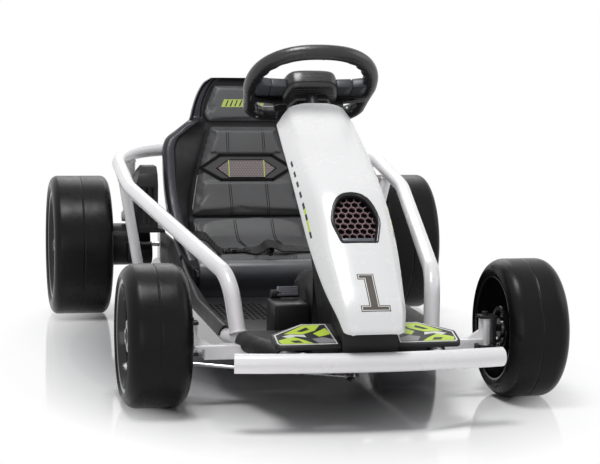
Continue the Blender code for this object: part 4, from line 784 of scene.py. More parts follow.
HOOD_STATIONS = (  # y, z of the top line, y, z of the lower edge, half width of the top and of the edge
    (-0.206, 0.4878, -0.2032, 0.4470, 0.045, 0.0698),
    (-0.262, 0.4575, -0.2560, 0.4200, 0.050, 0.0721),
    (-0.370, 0.4040, -0.3500, 0.3700, 0.052, 0.0749),
    (-0.470, 0.3530, -0.4300, 0.3160, 0.053, 0.0752),
    (-0.535, 0.2840, -0.5000, 0.2605, 0.052, 0.0721),
    (-0.590, 0.2300, -0.5700, 0.2060, 0.048, 0.0632),
    (-0.632, 0.1870, -0.6180, 0.1745, 0.044, 0.0545),
    (-0.6445, 0.1640, -0.6340, 0.1560, 0.041, 0.0490),
)
HOOD_SKIN = 0.003
VENT_MIDDLE = (-0.5020, 0.3172)
VENT_SLOPE = math.radians(47)
VENT_OUTLINE = (  # x, distance up the hood
    (0.000, 0.0535), (0.0150, 0.0505), (0.0270, 0.0405), (0.0350, 0.0240),
    (0.0400, 0.0040), (0.0408, -0.0085), (0.0300, -0.0495),
)


def hood_rows(steps=7):
    """For each section of the hood, its top point, the direction up from its lower edge, and its sizes."""
    made = []
    for top_y, top_z, edge_y, edge_z, top, edge in spline(HOOD_STATIONS, steps):
        crown = Vector((0, top_y, top_z))
        rise = crown - Vector((0, edge_y, edge_z))
        made.append((crown, rise.normalized(), top, edge, rise.length))
    return made


def hood_outer(top, edge, depth):
    """Half of the hood's outer outline from its crown to its edge, as (x, height)."""
    wide = edge - top
    rows = (  # x as a share of the top, as a share of the flare, share of the depth
        (0.0, 0, 0.0), (0.30, 0, 0.004), (0.52, 0, 0.016), (0.60, 0, 0.036), (0.78, 0, 0.078), (0.93, 0, 0.130),
        (1.0, 0.10, 0.195), (1.0, 0.27, 0.30), (1.0, 0.46, 0.44), (1.0, 0.66, 0.61), (1.0, 0.84, 0.79),
        (1.0, 0.985, 0.92), (1.0, 1.0, 0.985),
    )
    points = [(top * share + wide * flare, -depth * low) for share, flare, low in rows]
    return points + [(edge - 0.0008, -depth)]


def hood_rings():
    """The hood's sections, with rounded lower corners at its front end."""
    rows = hood_rows()
    crown, rise, top, edge, depth = rows[-1]
    for forward, down, shrink in ((0.0016, 0.0028, 0.0014), (0.0026, 0.0060, 0.0050), (0.0028, 0.0085, 0.0105)):
        moved = crown + Vector((0, -forward, -down))
        rows.append((moved, rise, top - shrink, edge - shrink * 1.05, max(depth - down * 1.05, 0.0042)))
    rings = []
    for crown, rise, top, edge, depth in rows:
        outer = hood_outer(top, edge, depth)
        inner = [(x * (1 - HOOD_SKIN / edge), h - HOOD_SKIN * (1 - 0.9 * (x / edge) ** 2)) for x, h in outer]
        inner[-1] = (edge - HOOD_SKIN, -depth)
        across = [(-x, h) for x, h in reversed(outer[1:])] + outer
        back = [(x, h) for x, h in reversed(inner)] + [(-x, h) for x, h in inner[1:]]
        rings.append([crown + Vector((x, 0, 0)) + rise * h for x, h in across + back])
    return rings


def hood(looks):
    """The hood with eased ends, cut out for the vent, and its prints."""
    mesh_data = bmesh.new()
    rings = hood_rings()
    count = len(rings[0]) // 2
    ends = []
    for at, step in ((0, 1), (-1, -1)):
        ahead = (rings[at][count // 2] - rings[at + step][count // 2]).normalized()
        outer, inner = rings[at][:count], rings[at][count:]
        eased = [p + (inner[count - 1 - i] - p) * 0.35 + ahead * 0.0010 for i, p in enumerate(outer)]
        ends.append(eased + inner)
    add_rings(mesh_data, [ends[0]] + rings + [ends[1]])
    made = piece("nose_hood_skin", mesh_data, looks["white_plastic"], over=("nose_hood",), angle=50)
    surface = surface_of(made)
    cutter = bmesh.new()
    add_prism(cutter, vent_outline(0.0006), vent_matrix(), -0.030, 0.030)
    cut(made, cutter)
    hood_prints(looks, surface)
    side_print(looks, rings)


def add_print(mesh_data, outline, matrix, surface, thick, index=0, cell=0.006):
    """A thin print of this outline, laid down along the plane's normal onto a surface."""
    flat = bmesh.new()
    flat.faces.new([flat.verts.new((p[0], p[1], 0)) for p in outline])
    flat.normal_update()
    bmesh.ops.triangulate(flat, faces=flat.faces)
    for axis in (0, 1):
        low, high = min(p[axis] for p in outline), max(p[axis] for p in outline)
        steps = int((high - low) / cell)
        for i in range(steps):
            at = [0.0, 0.0, 0.0]
            at[axis] = low + (high - low) * (i + 1) / (steps + 1)
            across = [0.0, 0.0, 0.0]
            across[axis] = 1.0
            every = list(flat.verts) + list(flat.edges) + list(flat.faces)
            bmesh.ops.bisect_plane(flat, geom=every, plane_co=at, plane_no=across)
    normal = (matrix.to_3x3() @ Vector((0, 0, 1))).normalized()
    made = {}
    for vert in flat.verts:
        hit = surface.ray_cast(matrix @ vert.co + normal * 0.05, -normal)[0] or matrix @ vert.co
        made[vert] = (mesh_data.verts.new(hit + normal * thick), mesh_data.verts.new(hit - normal * 0.0002))
    faces = []
    for face in flat.faces:
        faces.append(mesh_data.faces.new([made[vert][0] for vert in face.verts]))
        faces.append(mesh_data.faces.new([made[vert][1] for vert in reversed(face.verts)]))
    for edge in flat.edges:
        if edge.is_boundary:
            a, b = edge.verts
            faces.append(mesh_data.faces.new((made[a][0], made[b][0], made[b][1], made[a][1])))
    for face in faces:
        face.material_index = index
    flat.free()


NUMERAL = (  # x, distance up the hood from the vent's middle
    (-0.0180, -0.1815), (0.0250, -0.1815), (0.0250, -0.1750), (0.0078, -0.1750), (0.0078, -0.1140),
    (-0.0145, -0.1140), (-0.0145, -0.1200), (-0.0045, -0.1200), (-0.0045, -0.1750), (-0.0180, -0.1750),
)


def hood_prints(looks, surface):
    """A plain racing number in three layers."""
    mesh_data = bmesh.new()
    for index, (grow, thick) in enumerate(((0.0021, 0.00025), (0.0008, 0.00040), (-0.0006, 0.00055))):
        outline = grown_outline(NUMERAL, grow) if grow else NUMERAL
        add_print(mesh_data, outline, vent_matrix(), surface, thick, index)
    piece("hood_number", mesh_data, [looks["dark_print"], looks["pale_print"], looks["brown_print"]])


SIDE_PRINT = (  # first and last section, finish
    (12, 13, 0), (14, 15, 0), (16, 17, 0), (18, 19, 0), (20, 21, 0), (21, 22, 1), (22, 23, 0), (23, 25, 1),
    (25, 26, 0),
)


def side_print(looks, rings):
    """Small marks and a lime stripe along the hood's flared wall, on both sides."""
    count = len(rings[0]) // 2
    mesh_data = bmesh.new()
    for side in (0, 1):
        for first, last, index in SIDE_PRINT:
            rows = []
            for i in range(first, last + 1):
                ring = rings[i][:count]
                ends = [ring[j] if not side else ring[count - 1 - j] for j in (3, 4)]
                rows.append([ends[0].lerp(ends[1], share) for share in (0.05, 0.55)])
            across = (rows[0][-1] - rows[0][0]).cross(rows[-1][0] - rows[0][0]).normalized()
            out = across if across.x * rows[0][0].x > 0 else -across
            outer = [[mesh_data.verts.new(p + out * 0.0003) for p in row] for row in rows]
            inner = [[mesh_data.verts.new(p - out * 0.0003) for p in row] for row in rows]
            pairs = list(zip(outer, outer[1:])) + list(zip(inner, inner[1:]))
            pairs += [(outer[0], inner[0]), (outer[-1], inner[-1])]
            faces = [mesh_data.faces.new((a[0], a[1], b[1], b[0])) for a, b in pairs]
            for j in (0, -1):
                for a, b, c, d in zip(outer, outer[1:], inner, inner[1:]):
                    faces.append(mesh_data.faces.new((a[j], b[j], d[j], c[j])))
            for face in faces:
                face.material_index = index
    piece("hood_side_print", mesh_data, [looks["dark_print"], looks["lime_print"]])


SILL_TOP = -0.0355
SILL_LOW = -0.0435


def vent_matrix():
    """The plane of the vent: X to the driver's left, up the hood, out of it."""
    normal = (0, -math.sin(VENT_SLOPE), math.cos(VENT_SLOPE))
    return frame_matrix((0, *VENT_MIDDLE), (1, 0, 0), normal)


def vent_outline(grow=0.0):
    """The vent's rounded outline, moved out by a width. Its lower corners are the sharper ones."""
    full = mirrored(VENT_OUTLINE)
    sharp = (len(VENT_OUTLINE) - 1, len(VENT_OUTLINE))
    sizes = [0.004 if i in sharp else 0.009 for i in range(len(full))]
    rounded = fillet(full, sizes)
    return grown_outline(rounded, grow) if grow else rounded


def clipped(a, b, outline):
    """The part of a line from a to b inside a convex outline, or None."""
    area = sum(p.x * q.y - q.x * p.y for p, q in zip(outline, outline[1:] + outline[:1]))
    turn = 1 if area > 0 else -1
    low, high = 0.0, 1.0
    for p, q in zip(outline, outline[1:] + outline[:1]):
        side = Vector((p.y - q.y, q.x - p.x)) * turn
        first, last = (a - p).dot(side), (b - p).dot(side)
        if first < 0 and last < 0:
            return None
        if first < 0:
            low = max(low, first / (first - last))
        elif last < 0:
            high = min(high, first / (first - last))
    if high - low < 0.05:
        return None
    return a + (b - a) * low, a + (b - a) * high


def add_hexagons(mesh_data, outline, matrix, radius, half, low, high, index, shift=(0.0, 0.0)):
    """A honeycomb of thin walls inside a convex outline. Each cell gives three of its walls."""
    outline = [Vector((p[0], p[1])) for p in outline]
    reach = max(p.length for p in outline) + 2 * radius
    pitch = radius * math.sqrt(3)
    rows = int(reach / (radius * 1.5)) + 1
    columns = int(reach / pitch) + 1
    for row in range(-rows, rows + 1):
        for column in range(-columns, columns + 1):
            x = column * pitch + (row % 2) * pitch / 2 + shift[0]
            centre = Vector((x, row * radius * 1.5 + shift[1]))
            turns = [math.radians(60 * k) for k in range(4)]
            corners = [centre + Vector((math.sin(t), math.cos(t))) * radius for t in turns]
            for a, b in zip(corners, corners[1:]):
                line = clipped(a, b, outline)
                if line:
                    add_prism(mesh_data, bar_outline(*line, half, half * 0.5), matrix, low, high, index=index)


def vent(looks):
    """A bezel, a deep cup with a honeycomb, and a sill, let into the hood."""
    matrix = vent_matrix()
    mesh_data = bmesh.new()
    stops = (  # how far out from the outline, height, finish of the wall that ends here
        (0.0, -0.0158, 0), (0.0, 0.0006, 0), (-0.0008, 0.0015, 0), (-0.0022, 0.0016, 0), (-0.0042, 0.0002, 0),
        (-0.0060, -0.0030, 0), (-0.0068, -0.0085, 1), (-0.0070, -0.0125, 2), (-0.0072, -0.0135, 2),
    )
    rings = []
    for grow, height, _ in stops:
        rings.append([matrix @ Vector((p.x, p.y, height)) for p in vent_outline(grow)])
    faces = add_rings(mesh_data, rings)
    side_count = len(rings[0])
    # The deepest walls and the cup's floor take the flat black of painted shade.
    for i, face in enumerate(faces[:-2]):
        face.material_index = stops[i // side_count + 1][2]
    faces[-1].material_index = 2
    inside = grown_outline(mirrored(VENT_OUTLINE), -0.0068)
    add_hexagons(mesh_data, inside, matrix, 0.0071, 0.00050, -0.0125, -0.0088, 3, (0.0, 0.0015))
    sill = [(p.x, p.y) for p in vent_outline(-0.0048) if p.y < -0.036]
    left, right = min(sill), max(sill)
    shelf = [(left[0] - 0.002, SILL_TOP), (left[0] + 0.0012, SILL_LOW)]
    shelf += [(right[0] - 0.0012, SILL_LOW), (right[0] + 0.002, SILL_TOP)]
    # The sill is gloss black, with its reflection painted on as grey.
    add_prism(mesh_data, shelf, matrix, -0.0125, -0.0050, 0.0008, 4)
    finish = [looks[k] for k in ("gloss_black", "gloss_black", "hollow_painted_shade", "mesh_metal", "sill_painted_reflection")]
    piece("hood_vent_bezel", mesh_data, finish, over=("hood_vent",), angle=50)


# Steering wheel

WHEEL_CENTRE = (0.0, -0.158, 0.515)
COLUMN_ANGLE = math.radians(52)
COLUMN_AXIS = Vector((0, math.cos(COLUMN_ANGLE), math.sin(COLUMN_ANGLE)))
WHEEL_HALF_WIDTH = 0.1215
WHEEL_TOP = 0.1160
WHEEL_SQUARENESS = 2.35
WHEEL_RIM_RADIUS = 0.0135
WHEEL_BOTTOM = 0.098


def wheel_rim_path():
    """The rim's middle line in the wheel's plane: a squarish arch over a flat bottom with round corners."""
    radius = WHEEL_HALF_WIDTH - WHEEL_RIM_RADIUS
    high = WHEEL_TOP - WHEEL_RIM_RADIUS
    flat = -(WHEEL_BOTTOM - WHEEL_RIM_RADIUS)
    corner = 0.036
    start_turn = math.radians(-18)
    points = [(radius * math.cos(start_turn), radius * math.sin(start_turn))]
    for i in range(45):
        turn = math.pi * i / 44
        across, up = math.cos(turn), math.sin(turn)
        power = 2 / WHEEL_SQUARENESS
        points.append((math.copysign(abs(across) ** power, across) * radius, up**power * high))
    points.append((-radius * math.cos(start_turn), radius * math.sin(start_turn)))
    centre_x = radius * math.cos(start_turn) - corner * 1.02
    for middle, first_deg in ((-centre_x, 200), (centre_x, 270)):
        for i in range(9):
            turn = math.radians(first_deg + 70 * i / 8)
            points.append((middle + corner * math.cos(turn), flat + corner * (1 + math.sin(turn))))
    return points


def spaced(points, step):
    """A closed path with points at an even step."""
    points = [Vector(p) for p in points]
    ends = points[1:] + points[:1]
    lengths = [(b - a).length for a, b in zip(points, ends)]
    count = round(sum(lengths) / step)
    made = []
    for i in range(count):
        left = sum(lengths) * i / count
        for a, b, length in zip(points, ends, lengths):
            if left <= length:
                made.append(a + (b - a) * left / length)
                break
            left -= length
    return made


WHEEL_SEAMS = (
    (0.0050, 0.100), (-0.0135, 0.100), (0.076, 0.083), (-0.076, 0.083), (0.098, -0.030), (-0.098, -0.030),
)
FINGER_WAVES = (((0.060, 0.098), (0.104, 0.020)), ((-0.060, 0.098), (-0.104, 0.020)))


def rim_section(point):
    """The rim's outline at a point of its path: slimmer at a seam, waved inside where the fingers go."""
    wide, deep = WHEEL_RIM_RADIUS, WHEEL_RIM_RADIUS * 0.94
    for seam in WHEEL_SEAMS:
        apart = (point - Vector(seam)).length
        wide -= 0.0009 * math.exp(-((apart / 0.0011) ** 2))
        deep -= 0.0009 * math.exp(-((apart / 0.0011) ** 2))
    wave = 0.0
    for first, last in FINGER_WAVES:
        first, last = Vector(first), Vector(last)
        share = (point - first).dot(last - first) / (last - first).length_squared
        if 0 < share < 1 and abs(point.x) > 0.055:
            wave = 0.0021 * math.sin(share * math.pi * 7) * math.sin(share * math.pi) ** 0.5
    made = []
    for u, v in circle(1.0, 28):
        inward = max(0.0, -v)
        u, v = (math.copysign(abs(u) ** 0.88, u), math.copysign(abs(v) ** 0.88, v))
        made.append((u * deep, v * wide - wave * inward**2))
    return made


WHEEL_ARMS = (  # x, y in the wheel's plane
    (0.108, -0.008), (0.098, -0.015), (0.066, -0.025), (0.040, -0.030), (-0.040, -0.030), (-0.066, -0.025),
    (-0.098, -0.015), (-0.108, -0.008), (-0.108, -0.030), (-0.092, -0.0315), (-0.062, -0.0365),
    (-0.050, -0.054), (-0.052, -0.086), (0.052, -0.086), (0.050, -0.054), (0.062, -0.0365), (0.092, -0.0315),
    (0.108, -0.030),
)


def steering_wheel(looks):
    """The gripped rim, its arms with grey spoke faces, the centre pad with its ribs, and the boss below."""
    matrix = frame_matrix(WHEEL_CENTRE, (-1, 0, 0), COLUMN_AXIS)
    mesh_data = bmesh.new()
    flat = spaced(wheel_rim_path(), 0.0016)
    path = [matrix @ Vector((p.x, p.y, 0)) for p in flat]
    rings = sweep_rings(path, [rim_section(p) for p in flat], COLUMN_AXIS, closed=True)
    add_rings(mesh_data, rings, closed=True)
    add_prism(mesh_data, fillet(WHEEL_ARMS, 0.007), matrix, -0.0135, -0.0010, 0.002)
    plate = (
        (-0.044, 0.020), (0.044, 0.020), (0.048, -0.038), (0.044, -0.084), (-0.044, -0.084), (-0.048, -0.038),
    )
    add_prism(mesh_data, fillet(plate, 0.006), matrix, -0.012, 0.006, 0.002)
    for side in (1, -1):
        inner = ((0.046, 0.0135), (0.0735, 0.0150), (0.0735, -0.0260), (0.036, -0.0370))
        outer = ((0.0747, 0.0150), (0.1000, 0.0200), (0.1040, -0.0110), (0.0747, -0.0262))
        for shape in (inner, outer):
            outline = fillet([(side * x, y) for x, y in shape], 0.0025, 3)
            add_prism(mesh_data, outline, matrix, -0.0105, 0.0075, 0.0012, 1)
        slot_line = ((0.0737, 0.0130), (0.0746, 0.0130), (0.0746, -0.0240), (0.0737, -0.0240))
        add_prism(mesh_data, [(side * x, y) for x, y in slot_line], matrix, -0.0090, 0.0060, index=0)
        screw = matrix @ Vector((side * 0.086, -0.078, -WHEEL_RIM_RADIUS * 0.86))
        add_rod(mesh_data, screw, screw - COLUMN_AXIS * 0.0016, 0.0022, 16, 2, 0.0004)
    half = (
        (0.0, 0.0305), (0.022, 0.0300), (0.036, 0.0272), (0.0440, 0.0190), (0.0485, 0.0050), (0.0515, -0.0120),
        (0.0510, -0.0275), (0.0480, -0.0300),
    )
    pad = fillet(mirrored(half), 0.005, 3)
    stops = (  # height, how far in from the outline
        (0.0185, 0.010), (0.0170, 0.0045), (0.0135, 0.0010), (0.0080, 0.0), (-0.0080, 0.0), (-0.0120, 0.0008),
        (-0.0160, 0.0030), (-0.0185, 0.0065),
    )
    rings = []
    for height, inset in stops:
        rings.append([matrix @ Vector((p.x, p.y, height)) for p in grown_outline(pad, -inset)])
    add_rings(mesh_data, rings)
    for i in range(6):
        v = 0.0165 - 0.0066 * i
        reach = 0.0405 - 0.0012 * abs(i - 3)
        add_box(mesh_data, (-reach, v - 0.0009, -0.0194), (reach, v + 0.0009, -0.0170), 0.0006, matrix)
    for w in (0.0065, -0.0010, -0.0085):
        add_box(mesh_data, (-0.0165, 0.0294, w - 0.0008), (0.0165, 0.0306, w + 0.0008), 0.0004, matrix)
    boss = [(-0.030, 0.0), (0.030, 0.0), (0.041, -0.020), (0.041, -0.036), (-0.041, -0.036), (-0.041, -0.020)]
    add_prism(mesh_data, fillet(boss, 0.006), matrix, -0.0310, -0.0100, 0.004)
    arch = (
        (0.0, -0.0225), (0.040, -0.0235), (0.058, -0.0235), (0.066, -0.0280), (0.060, -0.0460), (0.038, -0.0430),
        (0.0, -0.0400),
    )
    add_prism(mesh_data, fillet(mirrored(arch), 0.006), matrix, -0.0240, -0.0100, 0.002)
    screw = matrix @ Vector((-0.0060, WHEEL_TOP - 2 * WHEEL_RIM_RADIUS + 0.0012, -0.0068))
    lean = (matrix.to_3x3() @ Vector((0, -0.75, -0.66))).normalized()
    add_rod(mesh_data, screw - lean * 0.0005, screw + lean * 0.0010, 0.0020, 16, 2, 0.0003)
    finish = [looks[k] for k in ("wheel_black", "spoke_grey", "steel")]
    piece("steering_wheel_skin", mesh_data, finish, "steering", ("steering_wheel",), angle=50)


# Seat

SEAT_STATIONS = (  # z, y of the pad's face, half width, half width of the flat back, bolster reach
    (0.1435, 0.369, 0.158, 0.1280, 0.105),
    (0.1920, 0.394, 0.172, 0.1280, 0.085),
    (0.2600, 0.424, 0.182, 0.1225, 0.052),
    (0.3300, 0.451, 0.183, 0.1040, 0.036),
    (0.3620, 0.462, 0.181, 0.0940, 0.030),
    (0.3780, 0.468, 0.174, 0.0890, 0.027),
    (0.3970, 0.475, 0.150, 0.0830, 0.022),
    (0.4142, 0.480, 0.127, 0.0820, 0.018),
)
HEAD_STATIONS = (  # z, y of the pad's face, half width, half width of the flat front
    (0.4220, 0.482, 0.117, 0.0880),
    (0.4400, 0.487, 0.112, 0.0865),
    (0.4780, 0.498, 0.097, 0.0730),
    (0.4970, 0.503, 0.084, 0.0620),
    (0.5070, 0.507, 0.068, 0.0500),
)
BACK_PAD_THICKNESS = 0.016
SHELL_THICKNESS = 0.012
BOLSTER_TIP = 0.026
HEAD_REACH = -0.007


def shell_section(pad_y, half, flat, reach, tip):
    """The bucket's outline at one height, from the middle of its back round to the middle of its front."""
    floor_y = pad_y + BACK_PAD_THICKNESS + 0.0003
    back_y = floor_y + SHELL_THICKNESS
    tip_y = pad_y - reach
    side = [
        (0.0, back_y), (half * 0.60, back_y), (half * 0.95, back_y - 0.012), (half, back_y - 0.034),
        (half, tip_y + 0.010), (half - 0.006, tip_y), (half - tip + 0.004, tip_y),
        (half - tip, tip_y + 0.008), (flat + 0.002, floor_y - 0.004), (flat - 0.004, floor_y), (0.0, floor_y),
    ]
    sizes = [0, 0.02, 0.014, 0.014, 0.004, 0.005, 0.004, 0.004, 0.008, 0.006, 0]
    return side, sizes


def bucket_shell(looks):
    """The seat's shell with its bolsters, and a painted sheen of lighter blue-grey along the front of its
    flange.
    """
    rows = [(*row, BOLSTER_TIP) for row in SEAT_STATIONS]
    for z, y, half, flat in HEAD_STATIONS:
        rows.append((z, y, half, flat, HEAD_REACH, half - flat - 0.004))
    stations = spline(rows, 6)
    mesh_data = bmesh.new()
    rings = []
    for z, pad_y, half, flat, reach, tip in stations:
        side, sizes = shell_section(pad_y, half, flat, reach, tip)
        full = side + [(-x, y) for x, y in reversed(side[1:-1])]
        sizes = sizes + list(reversed(sizes[1:-1]))
        rings.append([Vector((p.x, p.y, z)) for p in fillet(full, sizes, 3)])
    faces = add_rings(mesh_data, rings)
    count = len(rings[0])
    for i, face in enumerate(faces[:-2]):
        middle = face.calc_center_median()
        row = stations[i // count]
        # Faces along the flange's front get the painted sheen.
        outer = abs(middle.x) > row[2] - row[5] * 0.72 - 0.003
        face.material_index = 1 if outer and middle.y < row[1] + 0.020 else 0
    over = ("seat_shell", "seat_bolster_left", "seat_bolster_right")
    finish = [looks["black_plastic"], looks["flange_painted_sheen"]]
    piece("bucket_shell", mesh_data, finish, over=over, angle=50)


# Soft parts


def surface_of(made):
    """A tree of a piece's surface, to lay things on."""
    bpy.context.view_layer.update()
    return BVHTree.FromObject(made, bpy.context.evaluated_depsgraph_get())


def evaluated_points(made):
    evaluated = made.evaluated_get(bpy.context.evaluated_depsgraph_get())
    mesh = evaluated.to_mesh()
    points = [vert.co.copy() for vert in mesh.vertices]
    evaluated.to_mesh_clear()
    return points


def remeshed(made, voxel):
    modifier = made.modifiers.new("remesh", "REMESH")
    modifier.mode = "VOXEL"
    modifier.voxel_size = voxel
    applied(made)


CLOTH_STEPS = 20
CLOTH_PRESSURE = 4.0


def stuffed(name, mesh_data, finish, over, free, cap, voxel=0.005, shape=None):
    """A pad blown up as cloth from a slightly small shape.

    free(point) is 1 where the pad can move and 0 where it rests. No point moves further than the cap.
    """
    made = piece(name, mesh_data, finish, over=over, angle=180)
    remeshed(made, voxel)
    start_points = [vert.co.copy() for vert in made.data.vertices]
    modifier = made.modifiers.new("cloth", "CLOTH")
    settings = modifier.settings
    settings.quality = 5
    settings.mass = 0.3
    settings.tension_stiffness = 12
    settings.compression_stiffness = 12
    settings.shear_stiffness = 5
    settings.bending_stiffness = 0.5
    settings.use_pressure = True
    settings.uniform_pressure_force = CLOTH_PRESSURE
    settings.effector_weights.gravity = 0
    scene = bpy.context.scene
    for step in range(1, CLOTH_STEPS + 1):
        scene.frame_set(step)
    moved = evaluated_points(made)
    made.modifiers.clear()
    scene.frame_set(1)
    for vert, before, after in zip(made.data.vertices, start_points, moved):
        shift = after - before
        if shift.length > cap:
            shift = shift * cap / shift.length
        vert.co = before + shift * free(before)
    if shape:
        for vert in made.data.vertices:
            vert.co = shape(vert.co)
    modifier = made.modifiers.new("smooth", "SUBSURF")
    modifier.levels = 1
    modifier.render_levels = 1
    applied(made)
    made.data.shade_smooth()
    return made


def seat_y(z):
    """The back's slanted face at a height."""
    rows = [row[:2] for row in SEAT_STATIONS + HEAD_STATIONS]
    for low, high in zip(rows, rows[1:]):
        if z <= high[0]:
            break
    return low[1] + (high[1] - low[1]) * (z - low[0]) / (high[0] - low[0])


def clamped(share):
    return min(1.0, max(0.0, share))


BACK_PAD = (  # z, half width
    (0.2150, 0.1240), (0.2407, 0.1210), (0.3058, 0.1060), (0.3540, 0.0920), (0.3792, 0.0835), (0.4056, 0.0740),
)
HEAD_PAD = ((0.4125, 0.0780), (0.4240, 0.0850), (0.4700, 0.0710), (0.4915, 0.0625))


def back_rings(rows, thickness, shrink):
    """Rings of a pad on the seat's back, a little smaller all round than the pad."""
    rings = []
    for z, half in rows:
        back_y = seat_y(z) + BACK_PAD_THICKNESS
        front_y = back_y - thickness + shrink
        wide = half - shrink
        corners = ((wide, back_y), (wide, front_y), (-wide, front_y), (-wide, back_y))
        outline = fillet(corners, (0.001, 0.006, 0.006, 0.001), 3)
        rings.append([Vector((p.x, p.y, z)) for p in outline])
    return rings


def cushions(looks):
    """The back cushion, the headrest pad and the seat cushion."""
    leather = looks["grey_leather"]
    mesh_data = bmesh.new()
    low, high = BACK_PAD[0][0] + 0.001, BACK_PAD[-1][0] - 0.001
    rows = [(min(max(z, low), high), half) for z, half in spline(BACK_PAD, 6)]
    add_rings(mesh_data, back_rings(rows, BACK_PAD_THICKNESS, 0.0022))
    back = stuffed(
        "back_pad", mesh_data, leather, ("back_cushion",),
        lambda p: clamped((seat_y(p.z) + 0.011 - p.y) / 0.006), cap=0.006,
        shape=lambda p: Vector((p.x, max(p.y, seat_y(p.z) + 0.0005), p.z)) if in_lens(p) else p,
    )
    mesh_data = bmesh.new()
    add_rings(mesh_data, back_rings(spline(HEAD_PAD, 5), 0.010, 0.0012))
    head = stuffed(
        "head_pad", mesh_data, leather, ("headrest_pad",),
        lambda p: clamped((seat_y(p.z) + 0.012 - p.y) / 0.005), cap=0.004, voxel=0.004,
    )
    mesh_data = bmesh.new()
    outline = (  # y, z
        (0.1260, 0.1440), (0.1260, 0.1585), (0.1330, 0.1640), (0.3250, 0.1655), (0.3600, 0.1760),
        (0.3930, 0.2148), (0.4170, 0.2148), (0.4075, 0.1915), (0.3830, 0.1440),
    )
    matrix = frame_matrix((0, 0, 0), (0, 1, 0), (1, 0, 0))
    sizes = (0.003, 0.006, 0.008, 0.02, 0.02, 0.006, 0.002, 0.01, 0.003)
    add_prism(mesh_data, fillet(outline, sizes), matrix, -0.1225, 0.1225, 0.004)
    seat = stuffed(
        "seat_pad", mesh_data, leather, ("seat_cushion",),
        lambda p: clamped((p.z - 0.148) / 0.008) * (0.25 if p.y > 0.40 else 1.0), cap=0.007,
    )
    return back, head, seat


# Smaller solids


def small_frame(looks):
    """The struts, hoop legs, sleeves and cross tubes."""
    white, rubber = looks["white_paint"], looks["black_rubber"]
    for name, side in SIDES:
        top = Vector((side * RAIL_X, STRUT_TOP_Y, rail_z(STRUT_TOP_Y)))
        foot = Vector((side * STRUT_FOOT_X, OUTRIGGER_Y, OUTRIGGER_Z))
        add_upright(f"rail_strut_{name}", top, foot, white)
        across = HOOP_LEG_X - (RAIL_X - HOOP_BEND)
        y = CROSSBAR_Y - HOOP_BEND + math.sqrt(HOOP_BEND**2 - across**2)
        top = Vector((side * HOOP_LEG_X, y, rail_z(y)))
        foot = Vector((side * HOOP_LEG_X, REAR_AXLE_Y, CROSSTUBE_Z))
        add_upright(f"hoop_leg_{name}", top, foot, white)
        mesh_data = bmesh.new()
        path = [main_tube_point(side, y) for y in (-0.404, -0.560)]
        outer = sweep_rings(path, circle(0.0165, 36))
        inner = sweep_rings(path, circle(0.0129, 36))
        along = (path[1] - path[0]).normalized()
        ends = []
        for i, step in ((0, 1), (1, -1)):
            move = along * step * 0.0015
            ends.append([p + move for p in outer[i]])
        lips = [[a + (b - a) * 0.3 for a, b in zip(outer[i], inner[i])] for i in (0, 1)]
        add_rings(mesh_data, [lips[0], ends[0], ends[1], lips[1], inner[1], inner[0]], closed=True)
        made = piece(f"tube_sleeve_skin_{name}", mesh_data, rubber, over=(f"tube_sleeve_{name}",), angle=50)
        cutter = bmesh.new()
        add_box(cutter, (-0.26, -0.4303, 0.067), (0.26, -0.4067, 0.1003), 0.0002)
        cut(made, cutter)
    for name, half, y, z in (
        ("rear_outrigger", 0.252, OUTRIGGER_Y, OUTRIGGER_Z), ("rear_crosstube", 0.262, REAR_AXLE_Y, CROSSTUBE_Z),
    ):
        mesh_data = bmesh.new()
        add_rod(mesh_data, (-half, y, z), (half, y, z), STRUT_RADIUS, 28, bevel=0.002)
        piece(f"{name}_skin", mesh_data, white, over=(name,))


def add_upright(name, top, foot, finish):
    """A strut between two tubes, with a weld bead at each end."""
    mesh_data = bmesh.new()
    along = (foot - top).normalized()
    add_rod(mesh_data, top + along * 0.004, foot - along * 0.002, STRUT_RADIUS, 28)
    add_bead(mesh_data, top + along * (RAIL_RADIUS + 0.0012), along, STRUT_RADIUS, 0.0014)
    add_bead(mesh_data, foot - along * (STRUT_RADIUS + 0.0010), along, STRUT_RADIUS, 0.0014)
    piece(f"{name}_skin", mesh_data, finish, over=(name,))


SOFT_EDGES = (  # solids that keep their shape and get rounded edges: name, edge width, slot, body
    ("front_beam", 0.0012, "white_paint", "chassis"),
    ("rear_axle", 0.0010, "steel", "chassis"),
    ("floor_tub", 0.0018, "black_plastic", "chassis"),
    ("foot_deck", 0.0012, "black_plastic", "chassis"),
    ("column_shroud", 0.0020, "black_plastic", "chassis"),
    ("pedal_box", 0.0012, "black_plastic", "chassis"),
    ("accelerator_pedal", 0.0010, "black_plastic", "chassis"),
    ("steering_column", 0.0006, "black_plastic", "steering"),
    ("gearbox_left", 0.0015, "black_plastic", "chassis"),
    ("gearbox_right", 0.0015, "black_plastic", "chassis"),
    ("side_pod_left", 0.0030, "black_plastic", "chassis"),
    ("side_pod_right", 0.0030, "black_plastic", "chassis"),
    ("knuckle_left", 0.0006, "black_plastic", "knuckle_left"),
    ("knuckle_right", 0.0006, "black_plastic", "knuckle_right"),
    ("tie_rod_left", 0.0004, "steel", "tie_rod_left"),
    ("tie_rod_right", 0.0004, "steel", "tie_rod_right"),
)


def soft_edged(looks):
    made = {}
    for name, width, slot, body in SOFT_EDGES:
        made[name] = softened(name, width, looks[slot], body)
    return made


def add_line(mesh_data, points, radius, sides=8, index=0):
    """A thin round line through points, with closed ends."""
    rings = sweep_rings(points, circle(radius, sides), (0, 1, 0.3))
    add_rings(mesh_data, rings, index=index)


